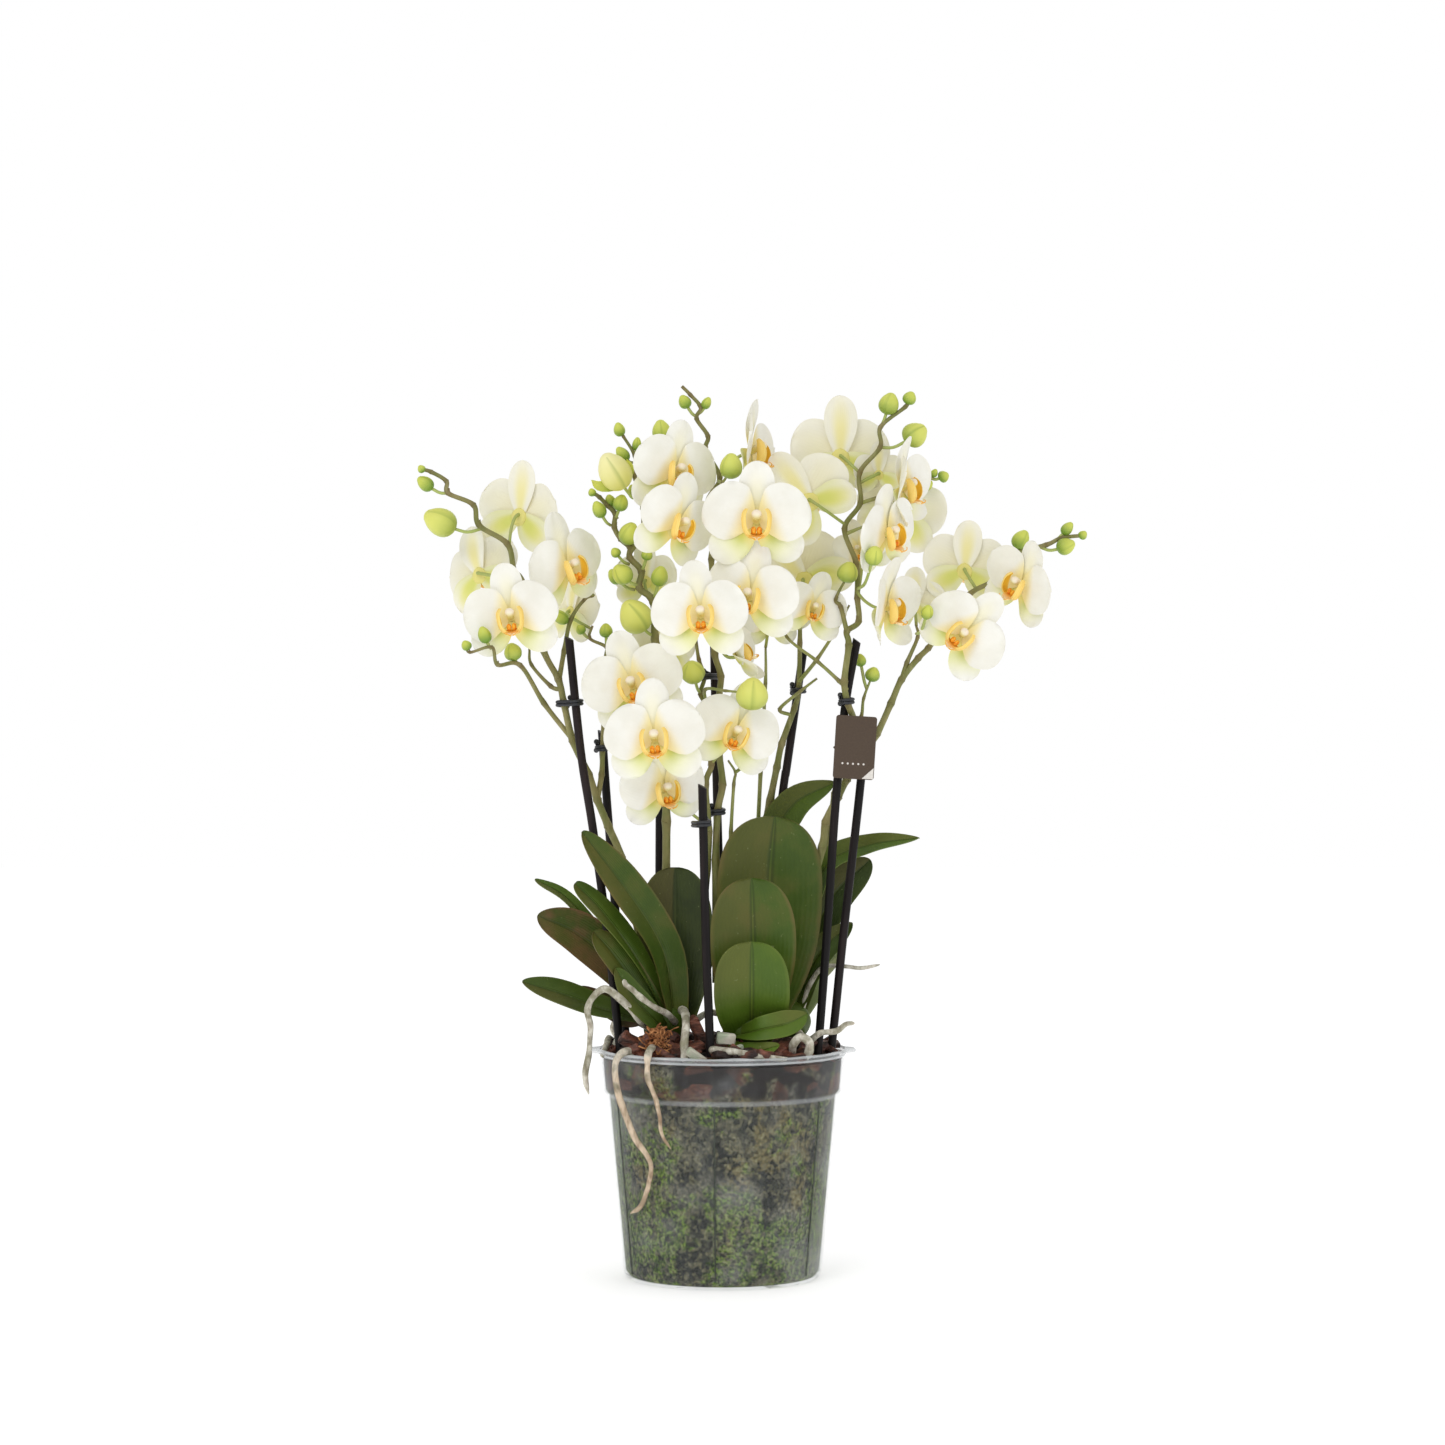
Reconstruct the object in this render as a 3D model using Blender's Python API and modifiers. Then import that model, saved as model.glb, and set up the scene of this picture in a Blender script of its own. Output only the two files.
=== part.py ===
"""A potted moth orchid: three plants with eight flower spikes in one clear nursery pot.

World frame: metres, +Z up, origin at the centre of the pot's base, front towards -Y.
The tables below hold millimetres and MM turns them into metres.
"""
import math

import bmesh
import bpy
from mathutils import Euler, Vector

MM = 0.001
GAP = 0.3                 # clearance left between pieces that touch

# ---- driving dimensions, millimetres ----
POT_HEIGHT = 134.0
POT_RIM_RADIUS = 75.0     # over the rolled lip
POT_BAND_RADIUS = 72.5    # straight band under the lip
POT_BODY_TOP_RADIUS = 68.0
POT_BODY_TOP_Z = 107.5
POT_FOOT_RADIUS = 58.0
POT_WALL = 1.0
POT_FLOOR = 1.5
POT_LUG_REACH = 79.0      # two thin finger tabs on the rim
DRAIN_HOLES = 6
DRAIN_RADIUS = 5.0
DRAIN_CIRCLE = 38.0
BARK_TOP_Z = 131.0
BARK_MOUND = 3.5
STAKE_RADIUS = 2.5
CLIP_WIRE_RADIUS = 0.6
FLOWER_SPAN = 57.0        # across the two petals of a full flower
FLOWER_THICKNESS = 1.6
FLOWER_BACK = 2.6         # where the stalk meets the back of a flower
LIP_RADIUS, LIP_TIP = 5.0, (0, -9.0, -4.0)
LEAF_THICKNESS = 1.6
TAG_WIDTH, TAG_HEIGHT, TAG_THICKNESS = 24.0, 37.0, 0.8


# ---- scene, collections and materials ----
for old in list(bpy.data.objects):
    bpy.data.objects.remove(old)

parts = bpy.data.collections.new("potted_orchid")
tools = bpy.data.collections.new("cutters_and_guides")
for collection in (parts, tools):
    bpy.context.scene.collection.children.link(collection)


def material(name, colour, roughness, metallic=0.0):
    """A plain Principled finish for one sub-part."""
    made = bpy.data.materials.new(name)
    made.use_nodes = True
    shader = made.node_tree.nodes["Principled BSDF"]
    shader.inputs["Base Color"].default_value = (*colour, 1.0)
    shader.inputs["Roughness"].default_value = roughness
    shader.inputs["Metallic"].default_value = metallic
    made.diffuse_color = (*colour, 1.0)
    return made


CLEAR_PLASTIC = material("clear_plastic", (0.35, 0.40, 0.36), 0.25)
BARK = material("bark", (0.10, 0.05, 0.03), 0.9)
STAKE_BLACK = material("stake_plastic", (0.02, 0.018, 0.018), 0.4)
CLIP_BLACK = material("clip_wire", (0.015, 0.015, 0.016), 0.35)
TAG_CARD = material("tag_card", (0.14, 0.11, 0.08), 0.6)
LEAF_GREEN = material("leaf_green", (0.08, 0.14, 0.03), 0.4)
STEM_GREEN = material("stem_green", (0.16, 0.17, 0.04), 0.5)
PETAL_WHITE = material("petal_white", (0.90, 0.88, 0.80), 0.5)


def add_object(name, mesh, finish, collection=parts):
    """Link a mesh as one named object with its own material."""
    made = bpy.data.objects.new(name, mesh)
    mesh.name = name
    mesh.materials.clear()
    mesh.materials.append(finish)
    collection.objects.link(made)
    if collection is tools:
        made.hide_render = True
        made.display_type = "WIRE"
    return made


def metres(points):
    return [Vector(point) * MM for point in points]


def smooth_path(points, steps):
    """Catmull-Rom curve through the points, with steps spans between neighbours."""
    path = []
    ends = [2 * points[0] - points[1], *points, 2 * points[-1] - points[-2]]
    for before, start, end, after in zip(ends, ends[1:], ends[2:], ends[3:]):
        for step in range(steps):
            t = step / steps
            path.append(0.5 * (2 * start + (end - before) * t
                               + (2 * before - 5 * start + 4 * end - after) * t ** 2
                               + (3 * start - before - 3 * end + after) * t ** 3))
    path.append(points[-1])
    return path


def tube_mesh(points, start_radius, end_radius=None, sides=6, closed=False):
    """A capped tube along points, as a welded mesh; radii in millimetres."""
    end_radius = start_radius if end_radius is None else end_radius
    curve = bpy.data.curves.new("tube", "CURVE")
    curve.dimensions = "3D"
    curve.bevel_depth = MM
    curve.bevel_resolution = (sides - 4) // 2
    curve.use_fill_caps = not closed
    spline = curve.splines.new("POLY")
    spline.points.add(len(points) - 1)
    spline.use_cyclic_u = closed
    for index, (point, place) in enumerate(zip(spline.points, points)):
        share = index / (len(points) - 1)
        point.co = (*place, 1.0)
        point.radius = start_radius + (end_radius - start_radius) * share
    guide = bpy.data.objects.new("tube", curve)
    tools.objects.link(guide)
    bpy.context.view_layer.update()
    mesh = bpy.data.meshes.new_from_object(guide.evaluated_get(bpy.context.evaluated_depsgraph_get()))
    bpy.data.objects.remove(guide)
    cage = bmesh.new()
    cage.from_mesh(mesh)
    bmesh.ops.remove_doubles(cage, verts=cage.verts, dist=0.00002)
    bmesh.ops.recalc_face_normals(cage, faces=cage.faces)
    cage.to_mesh(mesh)
    cage.free()
    mesh.shade_smooth()
    mesh.set_sharp_from_angle(angle=math.radians(50))
    return mesh


def ball_mesh(centre, radii, segments=6, rings=5):
    """An ellipsoid; centre in metres, radii in millimetres."""
    cage = bmesh.new()
    bmesh.ops.create_uvsphere(cage, u_segments=segments, v_segments=rings, radius=1.0)
    bmesh.ops.scale(cage, vec=Vector(radii) * MM, verts=cage.verts)
    bmesh.ops.translate(cage, vec=centre, verts=cage.verts)
    mesh = bpy.data.meshes.new("ball")
    cage.to_mesh(mesh)
    cage.free()
    mesh.shade_smooth()
    return mesh


def combine(target, mesh, operation="UNION"):
    """Join a mesh to the target, or cut it away, with a live Boolean."""
    helper = add_object(f"{target.name}_{operation.lower()}", mesh, target.data.materials[0], tools)
    change = target.modifiers.new(helper.name, "BOOLEAN")
    change.operation = operation
    change.solver = "EXACT"
    change.object = helper


def turned(name, profile, finish, segments):
    """A solid of revolution from (radius, height) points that run down the outer side."""
    mesh = bpy.data.meshes.new(name)
    corners = [(radius * MM, 0.0, height * MM) for radius, height in profile]
    mesh.from_pydata(corners, [(i, i + 1) for i in range(len(corners) - 1)], [])
    made = add_object(name, mesh, finish)
    screw = made.modifiers.new("turn", "SCREW")
    screw.steps = screw.render_steps = segments
    screw.use_merge_vertices = True
    screw.merge_threshold = 0.00001
    screw.use_smooth_shade = True
    return made


# ---- pot: thin clear shell, open at the top, with drain holes in its floor ----
def wall_radius(height):
    """Outer radius of the pot's tapered body at a height."""
    return POT_FOOT_RADIUS + (POT_BODY_TOP_RADIUS - POT_FOOT_RADIUS) * height / POT_BODY_TOP_Z


def build_pot():
    band_bottom = POT_BODY_TOP_Z + 2.5
    pot = turned("pot", [
        (0, POT_FLOOR), (wall_radius(4) - POT_WALL - 1.5, POT_FLOOR), (wall_radius(4) - POT_WALL, 4),
        (POT_BODY_TOP_RADIUS - POT_WALL, POT_BODY_TOP_Z + 0.5),
        (POT_BAND_RADIUS - 2.1 - POT_WALL, band_bottom + 0.5),
        (POT_BAND_RADIUS - POT_WALL, POT_HEIGHT - 1), (POT_BAND_RADIUS, POT_HEIGHT),
        (POT_RIM_RADIUS - 0.5, POT_HEIGHT), (POT_RIM_RADIUS, POT_HEIGHT - 1.2),
        (POT_RIM_RADIUS - 0.6, POT_HEIGHT - 2.5), (POT_BAND_RADIUS, POT_HEIGHT - 2.5),
        (POT_BAND_RADIUS - 2.1, band_bottom), (POT_BODY_TOP_RADIUS, POT_BODY_TOP_Z),
        (wall_radius(4), 4), (wall_radius(4) - 3.5, 0), (0, 0)], CLEAR_PLASTIC, 36)
    for side in (-1, 1):
        lug = bmesh.new()
        bmesh.ops.create_cube(lug, size=1.0)
        bmesh.ops.scale(lug, vec=Vector((POT_LUG_REACH - POT_RIM_RADIUS + 2, 14, 1.2)) * MM, verts=lug.verts)
        middle = (POT_LUG_REACH + POT_RIM_RADIUS - 2) / 2
        bmesh.ops.translate(lug, vec=Vector((side * middle, 0, POT_HEIGHT - 1.3)) * MM, verts=lug.verts)
        mesh = bpy.data.meshes.new("rim_lug")
        lug.to_mesh(mesh)
        lug.free()
        combine(pot, mesh)
    for hole in range(DRAIN_HOLES):
        angle = math.tau * hole / DRAIN_HOLES
        drill = bmesh.new()
        bmesh.ops.create_cone(drill, cap_ends=True, segments=12, radius1=DRAIN_RADIUS * MM,
                              radius2=DRAIN_RADIUS * MM, depth=0.01)
        place = Vector((math.cos(angle), math.sin(angle), 0)) * DRAIN_CIRCLE * MM
        bmesh.ops.translate(drill, vec=place, verts=drill.verts)
        mesh = bpy.data.meshes.new("drain_hole")
        drill.to_mesh(mesh)
        drill.free()
        combine(pot, mesh, "DIFFERENCE")


# ---- potting bark: fills the pot, with a hole for each stake ----
# Stakes run from low in the bark to above the leaves: points in millimetres.
STAKES = {
    "stake_1": [(-50, -13, 30), (-60, -15, 134), (-67, -16, 200), (-76, -16, 265), (-83, -17, 310),
                (-90, -18, 378)],
    "stake_2": [(-46, 18, 30), (-57, 18, 134), (-67.5, 14, 265), (-71.6, 10, 323)],
    "stake_3": [(-38.5, 31, 20), (-38.3, 31, 134), (-37.8, 30, 232), (-37.4, 28, 300)],
    "stake_4": [(-4, -44, 20), (-7, -50, 134), (-9.5, -50, 200), (-11.7, -46, 292)],
    "stake_5": [(7, 22, 20), (3, 20, 134), (-2.5, 17, 255), (-5, 13, 375)],
    "stake_6": [(3, 36, 20), (16, 34, 134), (36, 32, 284), (38.5, 31, 300), (48.5, 24, 371)],
    "stake_7": [(47, -14, 20), (56, -15, 134), (61, -14, 200), (66.4, -13, 280), (72, -7, 335),
                (79.5, -5, 377)],
    "stake_8": [(50, -5, 20), (64, -5, 134), (71, -5, 200), (81.5, -5, 293), (83, -5, 325)],
}


def build_bark():
    bark = turned("potting_bark", [
        (0, BARK_TOP_Z + BARK_MOUND), (35, BARK_TOP_Z + BARK_MOUND - 0.5), (62, BARK_TOP_Z + 1),
        (POT_BAND_RADIUS - POT_WALL - 1.2, BARK_TOP_Z - 2),
        (POT_BAND_RADIUS - 2.1 - POT_WALL - 0.4, POT_BODY_TOP_Z + 3.5),
        (POT_BODY_TOP_RADIUS - POT_WALL - 0.5, POT_BODY_TOP_Z),
        (wall_radius(4) - POT_WALL - 0.4, 4.5), (wall_radius(4) - POT_WALL - 2.5, POT_FLOOR + GAP),
        (0, POT_FLOOR + GAP)], BARK, 36)
    for points in STAKES.values():
        foot, lip, above = metres(points[:3])
        foot = foot - (lip - foot).normalized() * GAP * MM
        combine(bark, tube_mesh([foot, lip, above], STAKE_RADIUS + GAP, sides=8), "DIFFERENCE")


# ---- stakes and the wire clips that hold the stems to them ----
def build_stakes():
    for name, points in STAKES.items():
        add_object(name, tube_mesh(metres(points), STAKE_RADIUS, sides=8), STAKE_BLACK)


# Each clip: the stake's centre and the stem's centre where the wire goes round both.
CLIPS = {
    "clip_1": ((-86, -17.5, 338), (-93.2, -13, 338)),
    "clip_2": ((-70.8, 10.6, 312), (-70.8, 3.5, 312)),
    "clip_3": ((-11, -47.3, 268), (-13.5, -41, 268)),
    "clip_4": ((-3, 16.5, 274), (-2.8, 9.6, 274)),
    "clip_5": ((-4.4, 13.7, 354), (-10.7, 4.1, 354)),
    "clip_6": ((44.9, 26.6, 346), (45.3, 19.3, 346)),
    "clip_7": ((72.8, -6.8, 339.5), (72.8, -14.1, 339.5)),
}
CLIP_LOOP_RADIUS = STAKE_RADIUS + GAP + CLIP_WIRE_RADIUS + 0.2


def build_clips():
    for name, (stake, stem) in CLIPS.items():
        stake, stem = metres((stake, stem))
        heading = math.atan2(stem.y - stake.y, stem.x - stake.x)
        loop = []
        for centre, start in ((stem, heading - math.pi / 2), (stake, heading + math.pi / 2)):
            for step in range(7):
                angle = start + math.pi * step / 6
                loop.append(centre + Vector((math.cos(angle), math.sin(angle), 0)) * CLIP_LOOP_RADIUS * MM)
        add_object(name, tube_mesh(loop, CLIP_WIRE_RADIUS, closed=True), CLIP_BLACK)


# ---- care tag: a small blank card with a ring behind it that slips over stake_7 ----
def build_tag():
    card = bmesh.new()
    bmesh.ops.create_cube(card, size=1.0)
    bmesh.ops.scale(card, vec=Vector((TAG_WIDTH, TAG_THICKNESS, TAG_HEIGHT)) * MM, verts=card.verts)
    bmesh.ops.rotate(card, matrix=Euler((0, math.radians(3.5), 0)).to_matrix(), verts=card.verts)
    bmesh.ops.translate(card, vec=Vector((77.5, -18.5, 312)) * MM, verts=card.verts)
    mesh = bpy.data.meshes.new("care_tag")
    card.to_mesh(mesh)
    card.free()
    tag = add_object("care_tag", mesh, TAG_CARD)
    centre = Vector((69.7, -9.5, 312)) * MM
    ring = [centre + Vector((math.cos(a), math.sin(a), 0)) * 3.9 * MM
            for a in (math.tau * step / 12 for step in range(12))]
    combine(tag, tube_mesh(ring, 0.8, closed=True))
    combine(tag, tube_mesh(metres([(69.7, -18.5, 312), (69.7, -13.4, 312)]), 1.6))


# ---- leaves, crowns and roots: one fused body for each of the three plants ----
LEAF_SECTIONS = 8
LEAF_ACROSS = (-1.0, -0.5, 0.0, 0.5, 1.0)


def leaf_half_width(share, widest, base, tip):
    """Half width along a leaf: narrow at its base, full at 0.6, closing on a rounded tip."""
    if share < 0.6:
        return widest * (base + (1 - base) * math.sin(math.pi / 2 * share / 0.6))
    return widest * max(1 - ((share - 0.6) / 0.4) ** tip, 0.03) ** (1 / tip)


def leaf_mesh(midrib, widest, face, tip=2.2, base=0.45, fold=0.18):
    """A solid blade: a folded sheet along the midrib, thickened about its middle."""
    path = smooth_path(metres(midrib), 4)
    face = Vector(face)
    cage = bmesh.new()
    rows = []
    for section in range(LEAF_SECTIONS + 1):
        share = section / LEAF_SECTIONS
        place = share * (len(path) - 1)
        low = min(int(place), len(path) - 2)
        centre = path[low].lerp(path[low + 1], place - low)
        along = (path[low + 1] - path[low]).normalized()
        across = along.cross(face).normalized()
        upper = across.cross(along).normalized()
        half = leaf_half_width(share, widest, base, tip) * MM
        rows.append([cage.verts.new(centre + across * half * side + upper * half * fold * abs(side))
                     for side in LEAF_ACROSS])
    for first, second in zip(rows, rows[1:]):
        for index in range(len(LEAF_ACROSS) - 1):
            cage.faces.new((first[index], first[index + 1], second[index + 1], second[index]))
    bmesh.ops.recalc_face_normals(cage, faces=cage.faces)
    skin = cage.faces[:]
    bmesh.ops.solidify(cage, geom=skin, thickness=LEAF_THICKNESS * MM)
    bmesh.ops.recalc_face_normals(cage, faces=cage.faces)
    mesh = bpy.data.meshes.new("leaf")
    cage.to_mesh(mesh)
    cage.free()
    mesh.shade_smooth()
    mesh.set_sharp_from_angle(angle=math.radians(50))
    return mesh


# Each leaf: midrib points, half width, direction its face looks, tip roundness.
PLANTS = {
    "plant_left": {
        "crown": ((-34, -4, 149), (13, 11, 13)),
        "leaves": [
            ([(-27, 0, 146), (-26, 3, 190), (-26, 5, 241)], 21, (0, -1, 0.1), 2.4),
            ([(-28, -8, 150), (-34, -17, 192), (-55, -25, 228), (-83, -27, 264)], 13, (0.4, -0.8, 0.5), 1.5),
            ([(-32, -8, 152), (-50, -24, 190), (-70, -29, 217), (-86, -27, 233)], 9, (0.4, -0.6, 0.7), 2.0),
            ([(-38, -4, 152), (-56, 1, 176), (-84, 1, 201), (-110, -2, 213)], 13, (0.2, -0.9, 0.4), 1.6),
            ([(-34, -10, 148), (-46, -22, 167), (-62, -28, 190), (-75, -28, 205)], 10, (0.4, -0.8, 0.4), 2.0),
            ([(-40, -2, 150), (-70, -2, 158), (-95, -3, 167), (-120, -4, 175)], 8, (0.1, -0.7, 0.7), 1.5),
            ([(-42, 2, 150), (-58, 9, 153), (-85, 9, 170)], 8, (0.2, -0.8, 0.5), 1.6),
            ([(-40, 4, 154), (-62, 10, 186), (-90, 10, 221), (-111, 8, 234)], 4.5, (0.3, -0.7, 0.6), 2.0),
        ],
        "roots": [
            (2.2, 1.6, [(-38, -8, 142), (-52, -32, 158), (-67, -40, 171), (-76, -42, 163), (-76, -41, 150),
                        (-77, -40, 134)]),
            (1.8, 1.2, [(-30, -8, 150), (-40, -30, 161), (-50, -34, 171), (-56, -34, 177)]),
        ],
    },
    "plant_middle": {
        "crown": ((17, -18, 147), (13, 8.5, 11)),
        "leaves": [
            ([(18, -14, 146), (27, 0, 190), (28, 4, 235), (31, 1, 271)], 31, (0, -1, 0.1), 2.4),
            ([(17, -12, 144), (18, -24, 190), (17, -27, 236)], 25, (0, -1, 0.1), 2.4),
            ([(17, -14, 141), (17, -36, 165), (17, -44, 200)], 22, (0, -1, 0.2), 2.4),
            ([(7, -18, 144), (20, -44, 149), (38, -44, 153), (49, -40, 158)], 8, (0, -0.9, 0.4), 1.6),
        ],
        "roots": [],
    },
    "plant_right": {
        "crown": ((40, 15, 149), (12, 11, 13)),
        "leaves": [
            ([(41, 17, 148), (50, 22, 205), (62, 22, 242), (88, 18, 254), (115, 12, 257)], 9,
             (-0.4, -0.7, 0.6), 1.3),
            ([(36, 18, 152), (26, 24, 235), (40, 24, 275), (67, 22, 291)], 11, (-0.2, -0.9, 0.3), 1.6),
            ([(42, 20, 150), (61, 25, 215), (88, 22, 245)], 12, (0.1, -1, 0.2), 2.0),
            ([(41, 13, 152), (56, 7, 188), (77, 7, 208)], 8, (0.1, -0.9, 0.4), 1.6),
        ],
        "roots": [
            (1.7, 1.3, [(46, 14, 152), (54, 8, 174), (64, 4, 182), (82, 4, 182), (92, 4, 183)]),
            (2.2, 1.4, [(44, 6, 144), (50, -24, 144), (64, -26, 147), (73, -26, 152)]),
        ],
    },
}


def build_plants():
    for name, plant in PLANTS.items():
        centre, radii = plant["crown"]
        body = add_object(name, ball_mesh(Vector(centre) * MM, radii, 12, 8), LEAF_GREEN)
        for midrib, widest, face, tip in plant["leaves"]:
            combine(body, leaf_mesh(midrib, widest, face, tip))
        for start, end, points in plant["roots"]:
            combine(body, tube_mesh(metres(points), start, end))


# ---- flowers: one shared mesh, placed at each bloom ----
# Lobes of the outline as (angle, reach); the petals and sepals of a bloom facing -Y.
FLOWER_LOBES = ((90, 34), (75, 30), (60, 17), (45, 25), (30, 29), (15, 29), (0, 24), (-15, 20), (-30, 27),
                (-45, 26), (-60, 17), (-75, 10), (-90, 8))
FLOWER_SCALE = FLOWER_SPAN / 57.0


def flower_mesh():
    """A thin five-lobed disc with its front drawn out into the lip and its back to the stalk."""
    cage = bmesh.new()
    bmesh.ops.create_uvsphere(cage, u_segments=24, v_segments=3, radius=1.0)
    reach = dict(FLOWER_LOBES)
    for vert in cage.verts:
        front = vert.co.z > 0
        if math.hypot(vert.co.x, vert.co.y) < 0.01:
            vert.co = LIP_TIP if front else (0, FLOWER_BACK, 0)
            continue
        angle = math.degrees(math.atan2(vert.co.y, vert.co.x))
        right = angle if abs(angle) <= 90 else math.copysign(180, angle) - angle
        lobe = LIP_RADIUS if front else reach[15 * round(right / 15)] * FLOWER_SCALE
        turn = math.radians(angle)
        vert.co = (lobe * math.cos(turn), -FLOWER_THICKNESS if front else 0, lobe * math.sin(turn))
    bmesh.ops.scale(cage, vec=(MM, MM, MM), verts=cage.verts)
    bmesh.ops.recalc_face_normals(cage, faces=cage.faces)
    mesh = bpy.data.meshes.new("flower")
    cage.to_mesh(mesh)
    cage.free()
    mesh.shade_smooth()
    mesh.materials.append(PETAL_WHITE)
    return mesh


# Each bloom: centre, turn to the right, nod down, roll anticlockwise (degrees), scale, stalk start.
FLOWERS = {
    "flower_01": ((-120, 13, 450), 155, 0, 10, 0.95, (-126, 0, 430)),
    "flower_02": ((-144, 14, 415), 150, 5, -20, 0.92, (-121, -2, 410.5)),
    "flower_03": ((-122, -45, 386), 0, 5, 8, 1.0, (-112, -2, 392)),
    "flower_04": ((-90, -20, 416), 45, 5, 20, 1.0, (-76, 3, 401.5)),
    "flower_05": ((-90, 27, 393), 130, 0, 8, 0.8, (-77.5, 8, 382)),
    "flower_07": ((-28, -25, 471), 30, 5, -8, 1.0, (-49, 2, 462)),
    "flower_08": ((-26.5, -40, 440), 35, 10, -18, 0.95, (-40, 2, 455)),
    "flower_10": ((17, -5, 485), 76, 0, -8, 1, (-2, 0, 470)),
    "flower_11": ((19.6, -45, 442), 0, 5, 0, 1.1, (-6, 0, 455)),
    "flower_12": ((-12.6, -60, 387), 0, 5, 3, 1.0, (-15.7, 3, 375)),
    "flower_13": ((15.7, -40, 398), -15, 5, -8, 1, (-5, 0, 404)),
    "flower_14": ((9, -15, 366), 80, -30, 0, 0.8, (-4, 0, 384)),
    "flower_15": ((-52, -30, 347), 0, 5, 17, 1.05, (-37, 4, 352)),
    "flower_16": ((-39, -56, 316), 0, 5, 5, 1.05, (-35, 4, 322)),
    "flower_17": ((-34, -24, 286.6), 22, 12, 8, 0.95, (-12, -2, 268)),
    "flower_18": ((7, -25, 319), 5, 5, -20, 0.95, (-6.6, -1, 302)),
    "flower_19": ((70, 15, 485), 180, 0, 0, 1.05, (81, 0, 474)),
    "flower_20": ((51, 0, 458), 180, 0, -40, 1.0, (73, 0, 443)),
    "flower_21": ((48, 20, 412), 180, 0, -45, 1.05, (46, 12, 395)),
    "flower_22": ((52.7, -10, 392), 15, 0, -15, 0.72, (46, 12, 382)),
    "flower_23": ((106, -14, 462.7), 68, 0, 8, 0.95, (100, 2, 463)),
    "flower_24": ((95.4, -35, 435), 52, 10, 15, 0.95, (85, 0, 443)),
    "flower_25": ((106, 23, 452), 180, 0, 20, 0.95, (96, 2, 461)),
    "flower_26": ((96, -20, 392.4), 62, 5, 5, 0.95, (79, -2.5, 404)),
    "flower_27": ((114, 15, 396), 180, 0, 0, 0.7, (114.5, 2, 383.7)),
    "flower_28": ((144, 15, 417.6), 170, 0, 8, 0.9, (150, 0, 405)),
    "flower_29": ((174, -18, 406.4), -46, 5, -30, 0.92, (160, 0, 411)),
    "flower_30": ((139.3, -25, 377.4), -15, 10, -48, 0.95, (130, 0, 382)),
    "flower_31": ((-45.4, 14, 411), 165, 0, 0, 0.7, (-44, 2, 401)),
    "flower_32": ((92.5, 8, 474), 180, 0, 0, 0.55, (81, 0, 468)),
    "flower_34": ((-36, 16, 370), 180, 0, 0, 0.7, (-38, 3, 362)),
}


def flower_turn(turn, nod, roll):
    """Orientation matrix of a bloom: roll about its face, then nod, then turn."""
    return (Euler((0, 0, math.radians(turn))).to_matrix() @ Euler((math.radians(nod), 0, 0)).to_matrix()
            @ Euler((0, math.radians(-roll), 0)).to_matrix())


def build_flowers():
    shared = flower_mesh()
    for name, (centre, turn, nod, roll, scale, _) in FLOWERS.items():
        bloom = bpy.data.objects.new(name, shared)
        bloom.location = Vector(centre) * MM
        bloom.rotation_euler = flower_turn(turn, nod, roll).to_euler()
        bloom.scale = (scale, scale, scale)
        parts.objects.link(bloom)


def stalk_points(name):
    """The bent stalk from the stem to just behind a bloom."""
    centre, turn, nod, roll, scale, start = FLOWERS[name]
    back = flower_turn(turn, nod, roll) @ Vector((0, 1, 0))
    start = Vector(start) * MM
    end = Vector(centre) * MM + back * (FLOWER_BACK * scale + GAP + 0.2) * MM
    elbow = end + back * min(0.45 * (end - start).length, 12 * MM)
    return [start.lerp(elbow, t).lerp(elbow.lerp(end, t), t) for t in (0.0, 0.35, 0.7, 1.0)]


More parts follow.
